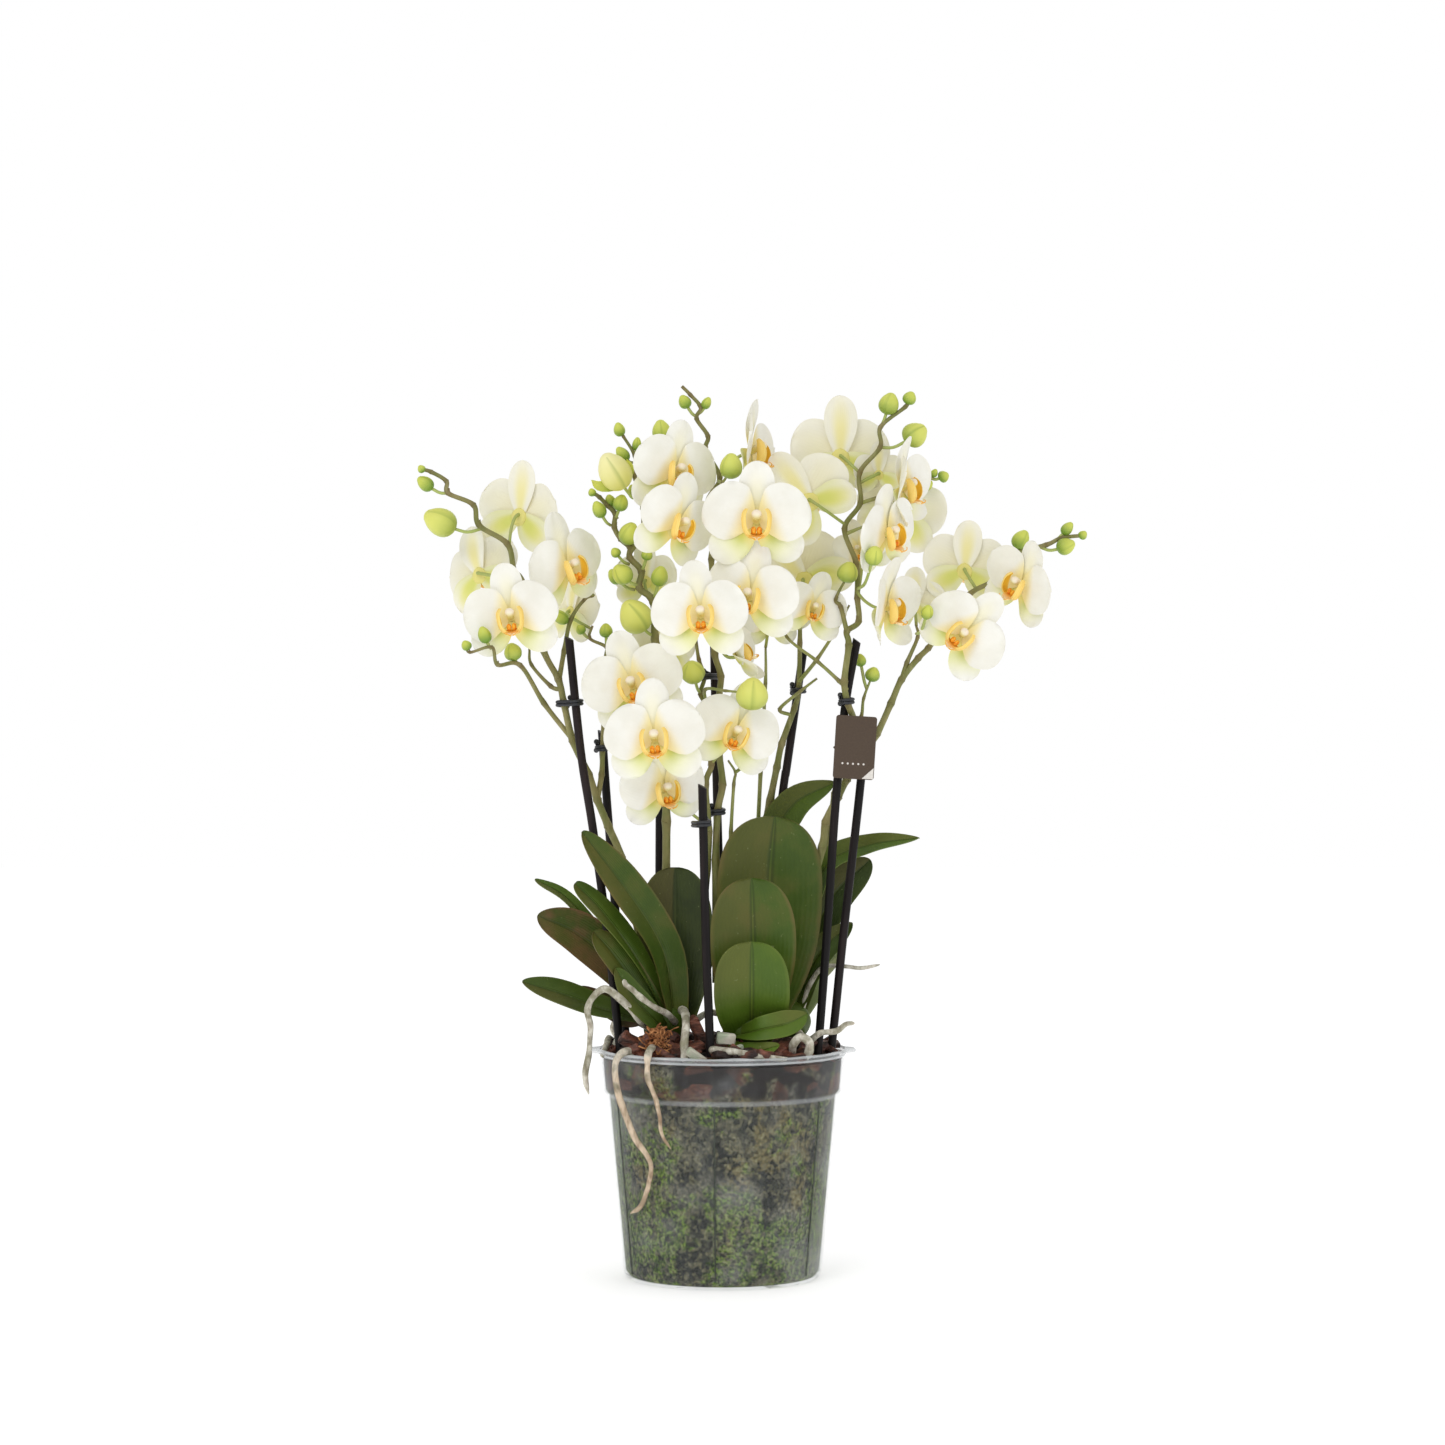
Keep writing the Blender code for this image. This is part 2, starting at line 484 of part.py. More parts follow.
# ---- spikes: stems, side branches, bud stalks and buds, one fused body each ----
# Stems are (start radius, end radius, points); buds are (centre, radius across, radius along, stalk).
SPIKES = {
    "spike_1": {
        "stems": [
            (2.4, 2.0, [(-38, 12, 168), (-50, 12, 205), (-60, 12, 246), (-67.6, 8, 265), (-74, 3, 281),
                        (-79, -2, 296), (-88, -8, 316), (-93, -13, 338), (-96.5, -8, 352), (-106, 0, 370),
                        (-118, 0, 409), (-123, 0, 416), (-127, 0, 432), (-143.7, 0, 443), (-147, 0, 455),
                        (-162, 0, 462), (-163, 0, 469), (-172, 0, 474.5), (-177.5, 0, 476)]),
            (1.5, 1.2, [(-95, -10, 346), (-101, -8, 348), (-112.5, -4, 360.6), (-114, 0, 370)]),
            (1.6, 1.3, [(-96, -8, 352), (-93.4, 0, 369), (-89.7, 2, 387), (-81.8, 3, 399), (-76, 3, 401.5)]),
            (1.6, 1.1, [(-88.5, -8, 317), (-105, -8, 338), (-118, -26, 360), (-130, -44, 360),
                        (-133, -50, 370), (-145.6, -50, 367), (-147.6, -50, 371)]),
            (1.8, 1.3, [(-74, 3, 281), (-71.5, 4, 296), (-70.8, 3.5, 312), (-69, 4, 363), (-68.6, 8, 371),
                        (-78.5, 8, 376.4), (-77, 8, 384)]),
        ],
        "buds": [
            ((-177.8, 0, 476.5), 2.4, 2.4, None),
            ((-177, 0, 468), 4.2, 5.8, (-161.5, 0, 462)),
            ((-166.5, 0, 445), 8.4, 10, (-142, 0, 441)),
            ((-147.6, -50, 371), 3, 3, None),
            ((-137.2, -50, 377), 3.8, 5, (-133, -50, 369)),
            ((-122, -30, 367.7), 5.2, 5.2, (-119, -26, 360)),
            ((-96, 0, 389), 3.8, 6, (-90, 2, 387)),
            ((-84, 8, 381.7), 3, 3, (-78.5, 8, 376.4)),
            ((-69, 8, 381), 4, 4.2, (-68.6, 8, 371)),
        ],
        "flowers": ("flower_01", "flower_02", "flower_03", "flower_04", "flower_05"),
    },
    "spike_2": {
        "stems": [
            (2.9, 2.2, [(-34, 16, 172), (-33.5, 16, 232), (-33.3, 12, 268), (-34, 6, 300), (-36, 4, 340),
                        (-39.8, 3, 376), (-41, 2, 398), (-49, 2, 406), (-48, 2, 416), (-54.7, 2, 424),
                        (-54.7, 2, 430), (-60, 2, 435), (-63.9, 2, 442), (-63.5, 2, 450), (-68, 2, 454.7),
                        (-72.7, 2, 459.7), (-77, 2, 462.5)]),
            (1.7, 1.2, [(-54.7, 2, 427), (-47, 2, 440), (-48, 2, 459), (-51.9, 2, 472), (-51.9, 2, 484),
                        (-58.5, 2, 495.5), (-61, 2, 499.6)]),
            (1.1, 1.0, [(-48.5, 2, 452), (-40, 2, 455.5)]),
            (1.0, 1.0, [(-51.9, 2, 476), (-44, 3, 485), (-43, 2, 492), (-38, 2, 497)]),
        ],
        "buds": [
            ((-61, 2, 499.6), 3.4, 4.2, None),
            ((-50.6, 2, 491), 2.7, 4, (-52, 2, 484)),
            ((-59, 2, 485), 3.7, 5, (-53, 2, 480)),
            ((-47, 2, 485), 3, 3, (-51.9, 2, 480)),
            ((-36, 2, 498.8), 5.6, 6.5, None),
            ((-77, 2, 462.5), 2.4, 2.4, None),
            ((-72.7, -4, 452), 4, 5.4, (-66, 2, 443)),
            ((-60, -2, 456), 4.5, 5, (-63.7, 2, 447)),
            ((-55, -2, 438), 6, 7, (-58, 2, 433)),
            ((-63, -2, 426.8), 3, 3, (-55, 2, 420)),
            ((-44.4, -4, 425.5), 3.4, 3.4, (-48, 2, 416)),
            ((-59, -6, 414), 6, 6.5, (-49, 2, 408)),
            ((-36.9, -6, 412.7), 5, 6.2, (-41, 2, 400)),
            ((-51.4, -4, 389.2), 9.6, 10.5, (-40, 3, 378)),
            ((-63.5, -10, 474), 9.5, 12, (-47.8, 2, 457)),
        ],
        "flowers": ("flower_07", "flower_08", "flower_15", "flower_16", "flower_31", "flower_34"),
    },
    "spike_3": {
        "stems": [
            (2.0, 1.8, [(-14, 12, 172), (-9, 13, 240), (-8, 8, 262), (-9.9, 2, 290), (-6.6, -1, 302),
                        (-11, 0, 315), (-13.2, 0, 321), (-8.2, 1, 334), (-13, 3, 343.4), (-10.7, 4, 353.4),
                        (-14, 3, 364), (-15.7, 3, 375)]),
            (1.6, 1.4, [(-8, 8, 262), (-12, -2, 268)]),
            (1.1, 1.0, [(-9, 1, 336), (-10, -14, 346), (2, -32, 345), (12, -38, 344)]),
        ],
        "buds": [
            ((-17.4, -10, 356.3), 7, 7, (-13, 3, 344)),
            ((17.2, -39, 343), 9.3, 9.3, None),
        ],
        "flowers": ("flower_12", "flower_17", "flower_18"),
    },
    "spike_4": {
        "stems": [
            (2.2, 1.8, [(-4, 14, 172), (-4, 13, 245), (-2.8, 9.6, 274), (0, 8, 290), (-2, 7, 310),
                        (-2, 5, 340), (-1, 3, 354), (-4.6, 2, 367), (-5, 0, 384), (-5, 0, 404), (-6.6, 0, 423),
                        (-4.5, 0, 443.5), (-8.2, 0, 458), (-1.6, 0, 471), (-9.9, 0, 487), (-8.6, 0, 495.5),
                        (-15.3, 0, 506), (-12.8, 0, 512.5), (-19, 0, 520), (-24, 0, 525)]),
            (1.1, 1.0, [(-2.5, 0, 469), (0, -22, 467), (4, -31, 472)]),
        ],
        "buds": [
            ((-22.3, 0, 515.8), 3.7, 4.2, (-15.3, 0, 507)),
            ((-9.5, 0, 515), 2.8, 3.8, (-14, 0, 509)),
            ((5, -32, 475.5), 6.6, 7.4, None),
        ],
        "flowers": ("flower_10", "flower_11", "flower_13", "flower_14"),
    },
    "spike_5": {
        "stems": [
            (1.3, 1.1, [(5, 12, 172), (4, 12, 235), (5, 10, 262), (6.7, 9, 290), (7.6, 9, 297),
                        (3.5, 0, 304)]),
            (1.1, 1.0, [(7.6, 9, 297), (12.6, 4, 301), (16, 3, 306)]),
        ],
        "buds": [],
        "flowers": (),
    },
    "spike_6": {
        "stems": [
            (2.3, 2.1, [(14, 37, 172), (20, 37, 235), (28.6, 33, 280), (32.5, 26, 300), (35.4, 24, 314),
                        (42.8, 21, 335), (45.3, 19, 346), (46, 16, 374), (46, 12, 395)]),
            (1.3, 1.1, [(45.6, 18, 351), (56, 10, 364), (67, 6, 381), (75, 4, 396)]),
            (1.4, 1.2, [(20, 37, 235), (23, 34, 300), (25.5, 12, 350), (25.5, 4, 371)]),
            (1.2, 1.2, [(41, 21.5, 331), (34, 14, 334.5), (46, 10, 345), (56, 8, 352.7)]),
        ],
        "buds": [],
        "flowers": ("flower_21", "flower_22"),
    },
    "spike_7": {
        "stems": [
            (2.3, 1.9, [(52, 32, 172), (60, 34, 240), (64, 30, 262), (67, 16, 284), (71, 12, 300),
                        (76, 2, 316), (77, -8, 328), (73.4, -14, 338), (71.4, -14, 350.6), (74, -13, 372),
                        (73, -12, 380), (80, -8, 386), (79.5, -2, 400), (79, 0, 420), (72, 0, 441),
                        (81.3, 0, 456), (81, 0, 474), (93, 0, 489), (93.3, 0, 501), (108, 0, 513),
                        (110.4, 0, 518)]),
            (1.5, 1.2, [(73, -12, 380), (69.4, -10, 394.5), (66.5, -9, 399), (73, -8, 412)]),
            (1.3, 1.1, [(72.8, -14, 346), (68.5, -8, 351), (56, -4, 362.5), (38, 0, 377), (36.2, 2, 390)]),
            (1.2, 1.1, [(76, 2, 316), (82, 4, 330), (83.5, 4, 341), (88.8, 4, 355)]),
            (1.2, 1.1, [(81.3, 0, 456), (90.5, 2, 459), (100, 2, 463)]),
            (1.2, 1.1, [(73, 0, 438), (85, 0, 443)]),
        ],
        "buds": [
            ((110.4, 0, 518), 4, 4, None),
            ((98.3, 0, 514.6), 6, 6.5, (93, 0, 501)),
            ((113.7, 2, 496.7), 7.4, 7.4, (93, 0, 489)),
            ((73.7, -8, 414.8), 6.2, 6.2, None),
            ((90, -6, 424.8), 5.2, 6.5, (79.5, 0, 408)),
            ((88.8, 4, 355), 4.4, 4.4, None),
        ],
        "flowers": ("flower_19", "flower_20", "flower_23", "flower_24", "flower_25", "flower_26", "flower_32"),
    },
    "spike_8": {
        "stems": [
            (2.4, 2.0, [(36, 12, 176), (49, 12, 215), (59, 4, 253), (61, 0, 268), (68, -3, 282.6),
                        (73.4, 0, 293), (82, 3, 306), (91.3, 3, 320), (99.6, 3, 338), (105.8, 3, 352),
                        (115.7, 2, 364.7), (121.5, 2, 370.5), (130, 0, 382), (145.5, 0, 402),
                        (159.6, 0, 410.6), (167.8, 0, 424.7), (191, 0, 431.4), (200, 0, 435.5),
                        (213, 0, 437)]),
            (1.5, 1.3, [(105.8, 3, 352), (109, 3, 362), (115.3, 2, 377), (114.5, 2, 383.7)]),
        ],
        "buds": [
            ((213.3, 0, 437.2), 2.8, 2.8, None),
            ((176, 0, 434.5), 5, 6, (166, 0, 424)),
            ((203.4, 0, 441), 3.3, 4.4, (192, 0, 432)),
            ((202.2, -3, 430.5), 5, 5.6, (187.7, 0, 430)),
            ((122.5, 2, 392), 3.5, 5.5, (121, 2, 370)),
        ],
        "flowers": ("flower_27", "flower_28", "flower_29", "flower_30"),
    },
}
BUD_STALK_RADIUS = 1.0


def build_spikes():
    for name, spike in SPIKES.items():
        (start, end, points), *branches = spike["stems"]
        body = add_object(name, tube_mesh(metres(points), start, end), STEM_GREEN)
        for start, end, points in branches:
            combine(body, tube_mesh(metres(points), start, end))
        for centre, across, along, stalk in spike["buds"]:
            centre = Vector(centre) * MM
            if stalk:
                combine(body, tube_mesh([Vector(stalk) * MM, centre], BUD_STALK_RADIUS, sides=4))
            combine(body, ball_mesh(centre, (across, across, along)))
        for flower in spike["flowers"]:
            combine(body, tube_mesh(stalk_points(flower), BUD_STALK_RADIUS, sides=4))


build_pot()
build_bark()
build_stakes()
build_clips()
build_tag()
build_plants()
build_flowers()
build_spikes()
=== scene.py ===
"""The looks of a potted moth orchid: white flowers on eight staked spikes in one clear nursery pot."""
import math
import random

import bmesh
import bpy
from mathutils import Euler, Matrix, Vector, noise


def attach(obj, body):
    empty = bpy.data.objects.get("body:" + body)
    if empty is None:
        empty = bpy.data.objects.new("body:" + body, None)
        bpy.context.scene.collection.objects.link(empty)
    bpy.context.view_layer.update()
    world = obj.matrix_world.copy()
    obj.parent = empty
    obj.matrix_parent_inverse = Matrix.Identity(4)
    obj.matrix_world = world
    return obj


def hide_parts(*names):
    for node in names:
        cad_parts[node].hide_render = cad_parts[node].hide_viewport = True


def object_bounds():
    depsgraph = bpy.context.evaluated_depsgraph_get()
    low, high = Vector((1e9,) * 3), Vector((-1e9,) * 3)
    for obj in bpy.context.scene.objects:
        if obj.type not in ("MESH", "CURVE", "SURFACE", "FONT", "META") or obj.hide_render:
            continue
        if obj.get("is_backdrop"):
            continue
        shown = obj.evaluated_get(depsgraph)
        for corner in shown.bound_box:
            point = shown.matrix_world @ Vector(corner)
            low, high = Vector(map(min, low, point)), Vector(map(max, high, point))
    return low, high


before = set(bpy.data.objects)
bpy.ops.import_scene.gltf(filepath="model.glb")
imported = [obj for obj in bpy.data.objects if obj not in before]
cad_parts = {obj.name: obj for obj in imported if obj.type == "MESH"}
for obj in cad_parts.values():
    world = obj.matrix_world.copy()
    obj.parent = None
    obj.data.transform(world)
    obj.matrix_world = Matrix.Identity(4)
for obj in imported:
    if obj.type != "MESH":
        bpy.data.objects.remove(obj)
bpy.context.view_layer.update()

# ---- Camera, floor and light ----
# A small studio: a level camera in front of the pot, a white floor that runs out of sight, and light
# from all round with a soft key above and to the left of the camera.
MM = 0.001
CAMERA_BACK, CAMERA_HEIGHT = 2131.7, 326.6
FLOOR_HALF = 6000.0
SKY_LIGHT = 0.72
scene = bpy.context.scene
scene.view_settings.view_transform = "Standard"

lens = bpy.data.cameras.new("camera")
lens.lens, lens.sensor_width = 90.0, 36.0
lens.clip_end = 50.0
camera = bpy.data.objects.new("camera", lens)
camera.location = Vector((0, -CAMERA_BACK, CAMERA_HEIGHT)) * MM
camera.rotation_euler = (math.radians(90), 0, 0)
scene.collection.objects.link(camera)
scene.camera = camera

world = bpy.data.worlds.new("studio")
world.use_nodes = True
sky = world.node_tree.nodes["Background"]
sky.inputs["Color"].default_value = (1.0, 1.0, 1.0, 1.0)
seen = world.node_tree.nodes.new("ShaderNodeLightPath")
glow = world.node_tree.nodes.new("ShaderNodeMapRange")     # white to look at, gentler as a light
glow.inputs["To Min"].default_value, glow.inputs["To Max"].default_value = SKY_LIGHT, 1.0
world.node_tree.links.new(seen.outputs["Is Camera Ray"], glow.inputs["Value"])
world.node_tree.links.new(glow.outputs["Result"], sky.inputs["Strength"])
scene.world = world

for name, place, aim, size, power in (
        ("key_light", (-700, -1500, 1500), (0, 0, 300), 900, 7.0),
        ("fill_light", (1400, -900, 700), (0, 0, 300), 900, 2.0),
        ("back_light", (300, 1500, 1300), (0, 0, 300), 900, 3.0)):
    light = bpy.data.lights.new(name, "AREA")
    light.size = size * MM
    light.energy = power
    lamp = bpy.data.objects.new(name, light)
    lamp.location = Vector(place) * MM
    lamp.rotation_euler = (Vector(aim) - Vector(place)).to_track_quat("-Z", "Y").to_euler()
    scene.collection.objects.link(lamp)

floor_white = bpy.data.materials.new("floor_white")
floor_white.use_nodes = True
floor_shader = floor_white.node_tree.nodes["Principled BSDF"]
floor_shader.inputs["Base Color"].default_value = (0.93, 0.93, 0.93, 1.0)
floor_shader.inputs["Roughness"].default_value = 0.9
floor_shader.inputs["Specular IOR Level"].default_value = 0.1
floor_shader.inputs["Emission Color"].default_value = (1.0, 1.0, 1.0, 1.0)
floor_shader.inputs["Emission Strength"].default_value = 0.36
cage = bmesh.new()
bmesh.ops.create_grid(cage, x_segments=1, y_segments=1, size=FLOOR_HALF * MM)
floor_mesh = bpy.data.meshes.new("floor")
cage.to_mesh(floor_mesh)
cage.free()
floor_mesh.materials.append(floor_white)
floor = bpy.data.objects.new("floor", floor_mesh)
scene.collection.objects.link(floor)
floor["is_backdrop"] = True

# ---- Nursery pot ----
# A clear, slightly smoky injection-moulded pot: a thin tapered body under a straight band with a
# rolled lip, six mould creases down the side, two thin tabs on the lip and three notches in its foot.
POT_HEIGHT, RIM_RADIUS, BAND_RADIUS = 134.0, 75.0, 72.5
BODY_TOP_RADIUS, BODY_TOP_Z, FOOT_RADIUS = 68.0, 107.5, 58.0
POT_WALL, POT_FLOOR = 1.0, 1.5
POT_STEPS = 144
CREASES, FIRST_CREASE = 6, -4.0        # how many, and the first's degrees from the front, towards +X
NOTCHES, FIRST_NOTCH = 3, 35.0         # drainage notches in the foot
LUG_REACH, LUG_HALF = 79.0, 7.0
FLOOR_STEP = 38.0                      # radius of the flat middle of the floor


class Wire:
    """A socket of a material's node tree. Sums and products of wires add Math nodes."""

    def __init__(self, tree, socket=None):
        self.tree, self.socket = tree, socket

    def node(self, kind, settings, inputs, out=0):
        """Add a node: its settings first, then a value or a wire for each socket it names."""
        made = self.tree.nodes.new("ShaderNode" + kind)
        for key, value in settings.items():
            setattr(made, key, value)
        for key, value in inputs.items():
            if isinstance(value, Wire):
                self.tree.links.new(value.socket, made.inputs[key])
            else:
                made.inputs[key].default_value = value
        return Wire(self.tree, made.outputs[out])

    def math(self, operation, *values):
        return self.node("Math", {"operation": operation}, dict(enumerate(values)))

    def __add__(self, other):
        return self.math("ADD", self, other)

    def __sub__(self, other):
        return self.math("SUBTRACT", self, other)

    def __rsub__(self, other):
        return self.math("SUBTRACT", other, self)

    def __mul__(self, other):
        return self.math("MULTIPLY", self, other)

    def __pow__(self, other):
        return self.math("POWER", self, other)

    __radd__ = __add__
    __rmul__ = __mul__

    def size(self):
        return self.math("ABSOLUTE", self)

    def parts(self):
        """The X, Y and Z of a vector."""
        split = self.node("SeparateXYZ", {}, {"Vector": self}).socket.node
        return [Wire(self.tree, each) for each in split.outputs]

    def rise(self, low, high):
        """0 below low, 1 above high, and a soft step between them; low may be the larger."""
        return self.node("MapRange", {"interpolation_type": "SMOOTHSTEP", "clamp": True},
                         {"Value": self, "From Min": low, "From Max": high})


def paint(red, green, blue):
    """A colour as it looks on a swatch, 0 to 255, as linear light."""
    linear = [((c / 255 + 0.055) / 1.055) ** 2.4 if c > 10 else c / 255 / 12.92
              for c in (red, green, blue)]
    return (*linear, 1.0)


def mix(factor, first, second, blend="MIX"):
    """Two colours mixed by a factor."""
    tree = next(value for value in (factor, first, second) if isinstance(value, Wire))
    return tree.node("Mix", {"data_type": "RGBA", "blend_type": blend},
                     {0: factor, 6: first, 7: second}, out=2)


def speckle(where, scale, detail=3.0, stretch=(1, 1, 1)):
    """Soft noise from 0 to 1, with scale in lumps per metre and a stretch along each axis."""
    placed = where.node("Mapping", {}, {"Vector": where, "Scale": stretch})
    return where.node("TexNoise", {}, {"Vector": placed, "Scale": scale, "Detail": detail,
                                       "Roughness": 0.55})


def finish(name, **sockets):
    """A new Principled material with its sockets set as given, its Object coordinates in metres, and
    its shader."""
    made = bpy.data.materials.new(name)
    made.use_nodes = True
    shader = made.node_tree.nodes["Principled BSDF"]
    for key, value in sockets.items():
        shader.inputs[key.replace("_", " ")].default_value = value
    return made, Wire(made.node_tree).node("TexCoord", {}, {}, out="Object"), shader


def feed(shader, **wires):
    """Link wires to sockets of a shader."""
    for key, wire in wires.items():
        wire.tree.links.new(wire.socket, shader.inputs[key.replace("_", " ")])


def bump(height, strength, distance):
    """Relief from a height of 0 to 1, with distance in millimetres."""
    return height.node("Bump", {}, {"Height": height, "Strength": strength, "Distance": distance * MM})


def piece(name, cage, finishes, nodes=(), sharp=40):
    """Close a cage as one finished piece that rides with the pot and stands for its CAD nodes."""
    mesh = bpy.data.meshes.new(name)
    cage.to_mesh(mesh)
    cage.free()
    for each in finishes:
        mesh.materials.append(each)
    mesh.shade_smooth()
    mesh.set_sharp_from_angle(angle=math.radians(sharp))
    made = bpy.data.objects.new(name, mesh)
    scene.collection.objects.link(made)
    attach(made, "root")
    if nodes:
        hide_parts(*nodes)


def turned(cage, profile, steps):
    """Spin a closed or axis-to-axis outline of (radius, height) points about the pot's axis."""
    corners = [cage.verts.new((radius * MM, 0, height * MM)) for radius, height in profile]
    edges = [cage.edges.new(pair) for pair in zip(corners, corners[1:])]
    bmesh.ops.spin(cage, geom=corners + edges, cent=(0, 0, 0), axis=(0, 0, 1), angle=math.tau,
                   steps=steps, use_merge=True)
    bmesh.ops.remove_doubles(cage, verts=cage.verts, dist=0.00001)
    bmesh.ops.recalc_face_normals(cage, faces=cage.faces)


def body_radius(height):
    """Outer radius of the pot's tapered body at a height."""
    return FOOT_RADIUS + (BODY_TOP_RADIUS - FOOT_RADIUS) * height / BODY_TOP_Z


def round_gap(angle, first, count):
    """Degrees from an angle to the nearest of count evenly spaced ones, counted from the first."""
    pitch = 360 / count
    return abs((angle - first + pitch / 2) % pitch - pitch / 2)


def faced(verts, index):
    """Give every face of some vertices one of the piece's finishes, by its place in their list."""
    faces = {face for vert in verts for face in vert.link_faces}
    for face in faces:
        face.material_index = index
    return list(faces)


cage = bmesh.new()
band_foot = BODY_TOP_Z + 2.5
turned(cage, [
    (0, POT_FLOOR), (FLOOR_STEP, POT_FLOOR), (body_radius(4) - POT_WALL - 1.5, POT_FLOOR),
    (body_radius(4) - POT_WALL, 4), (body_radius(55) - POT_WALL, 55),
    (BODY_TOP_RADIUS - POT_WALL, BODY_TOP_Z + 0.5), (BAND_RADIUS - 2.1 - POT_WALL, band_foot + 0.5),
    (BAND_RADIUS - POT_WALL, POT_HEIGHT - 1), (BAND_RADIUS - 0.2, POT_HEIGHT),
    (RIM_RADIUS - 1.0, POT_HEIGHT), (RIM_RADIUS, POT_HEIGHT - 0.8), (RIM_RADIUS, POT_HEIGHT - 1.8),
    (RIM_RADIUS - 0.6, POT_HEIGHT - 2.5), (BAND_RADIUS, POT_HEIGHT - 2.5),
    (BAND_RADIUS - 1.8, band_foot + 1.0), (BAND_RADIUS - 2.1, band_foot), (BODY_TOP_RADIUS, BODY_TOP_Z),
    (body_radius(80), 80), (body_radius(40), 40), (body_radius(4), 4), (body_radius(4) - 1.2, 1.2),
    (body_radius(4) - 3.5, 0), (FLOOR_STEP, 0), (0, 0)], POT_STEPS)
for vert in cage.verts:
    angle = math.degrees(math.atan2(vert.co.x, -vert.co.y))    # from the front, towards +X
    radius = math.hypot(vert.co.x, vert.co.y) / MM
    height = vert.co.z / MM
    if radius > 50 and height < 1.4 and round_gap(angle, FIRST_NOTCH, NOTCHES) < 3.2:
        vert.co.z += 1.2 * MM
    if radius > BAND_RADIUS - 0.3 and height > POT_HEIGHT - 3:
        ripple = noise.noise(Vector((math.sin(math.radians(angle)), math.cos(math.radians(angle)), 0)) * 5)
        vert.co.z += (ripple * 0.8 + 0.7) * MM                 # the soft lip is never quite flat
    if radius > RIM_RADIUS - 1.2:
        reach = noise.noise(vert.co * 90) * 0.7 - 0.7
        if round_gap(angle, 90, 2) < math.degrees(LUG_HALF / RIM_RADIUS):
            reach = LUG_REACH - RIM_RADIUS - 0.4
        vert.co.x *= 1 + reach / RIM_RADIUS
        vert.co.y *= 1 + reach / RIM_RADIUS
for index in range(CREASES):
    angle = math.radians(FIRST_CREASE + 360 / CREASES * index)
    outward = Vector((math.sin(angle), -math.cos(angle), 0))
    made = bmesh.ops.create_cube(cage, size=1.0)["verts"]
    for vert in made:
        height = 5 if vert.co.z < 0 else BODY_TOP_Z - 1
        radius = body_radius(height) + (0.45 if vert.co.y < 0 else -0.3)
        side = Vector((outward.y, -outward.x, 0)) * (0.5 if vert.co.x > 0 else -0.5)
        vert.co = (outward * radius + side) * MM + Vector((0, 0, height * MM))
    faced(made, 1)

pot_clear, where, shader = finish("pot_clear", IOR=1.46, Specular_IOR_Level=0.7)
level = where.parts()[2] * 1000                          # height in millimetres
haze = speckle(where, 28, 2)
# Painted reflection: the wall turns more opaque, and so whiter, where it is seen edge-on, for the white
# studio that clear plastic reflects at a glancing angle.
glancing_reflection = where.node("LayerWeight", {}, {"Blend": 0.35}, out="Facing")
lip = level.rise(POT_HEIGHT - 3.2, POT_HEIGHT - 2.2)
# Painted highlights: thin, more opaque pale lines along the top and underside of the rolled lip and along the
# shoulder where the body meets the band.
lip_highlight_lines = (level.rise(POT_HEIGHT - 0.8, POT_HEIGHT)
             + level.rise(POT_HEIGHT - 1.8, POT_HEIGHT - 2.4)
             * level.rise(POT_HEIGHT - 3.6, POT_HEIGHT - 3.0))
shoulder_highlight_line = level.rise(BODY_TOP_Z - 1.3, BODY_TOP_Z + 0.1) * level.rise(BODY_TOP_Z + 3.1, BODY_TOP_Z + 1.1)
scuff = speckle(where, 130, 2, (1, 1, 0.15)).rise(0.5, 0.75)
feed(shader,
     Base_Color=mix(haze.rise(0.35, 0.7), paint(190, 194, 196), paint(222, 226, 228)),
     Roughness=0.14 + haze * 0.16 + scuff * 0.1,
     Alpha=(0.02 + haze.rise(0.45, 0.75) * 0.06 + glancing_reflection ** 3 * 0.32 + lip * 0.16
            + lip_highlight_lines * 0.5 + shoulder_highlight_line * 0.16 + scuff * 0.02),
     Normal=bump(haze, 0.15, 0.3))
# The creases are dark olive-grey and half opaque: painted shade along each crease of the clear wall.
crease_clear, where, shader = finish("pot_crease", Roughness=0.3, IOR=1.46)
feed(shader,
     Base_Color=mix(speckle(where, 90), paint(40, 46, 38), paint(84, 92, 80)),
     Alpha=0.45 + speckle(where, 60) * 0.3)
piece("nursery_pot", cage, (pot_clear, crease_clear), ["pot"])

# ---- Potting bark ----
# The pot is packed with bark, moss and old roots: a damp dark mass against the clear wall, with
# loose red-brown chips, a tuft of coir and a few pale lumps lying on top.
BARK_TOP_Z, BARK_MOUND = 131.0, 3.5
UNEVEN_WITHIN = 69.0                   # radius of the uneven part of the top
CHIP_COUNT, FIBRE_COUNT = 170, 80
CHIP_SPREAD, CHIP_HEAP = 67.0, 5.0     # radius of the loose chips, and their extra height at the middle
TUFT_PLACE = (-37.5, -47.0)
grain = random.Random(7)


def put(cage, verts, size=None, turn=None, centre=(0, 0, 0)):
    """Scale, turn and move part of a cage, in that order; size and centre are in millimetres."""
    if size is not None:
        bmesh.ops.scale(cage, verts=verts, vec=Vector(size) * MM)
    if turn is not None:
        bmesh.ops.rotate(cage, verts=verts, cent=(0, 0, 0), matrix=turn)
    bmesh.ops.translate(cage, verts=verts, vec=Vector(centre) * MM)


def coated(colour, *coats):
    """A colour with coats laid over it in turn, each a factor and a colour."""
    for factor, coat in coats:
        colour = mix(factor, colour, coat)
    return colour


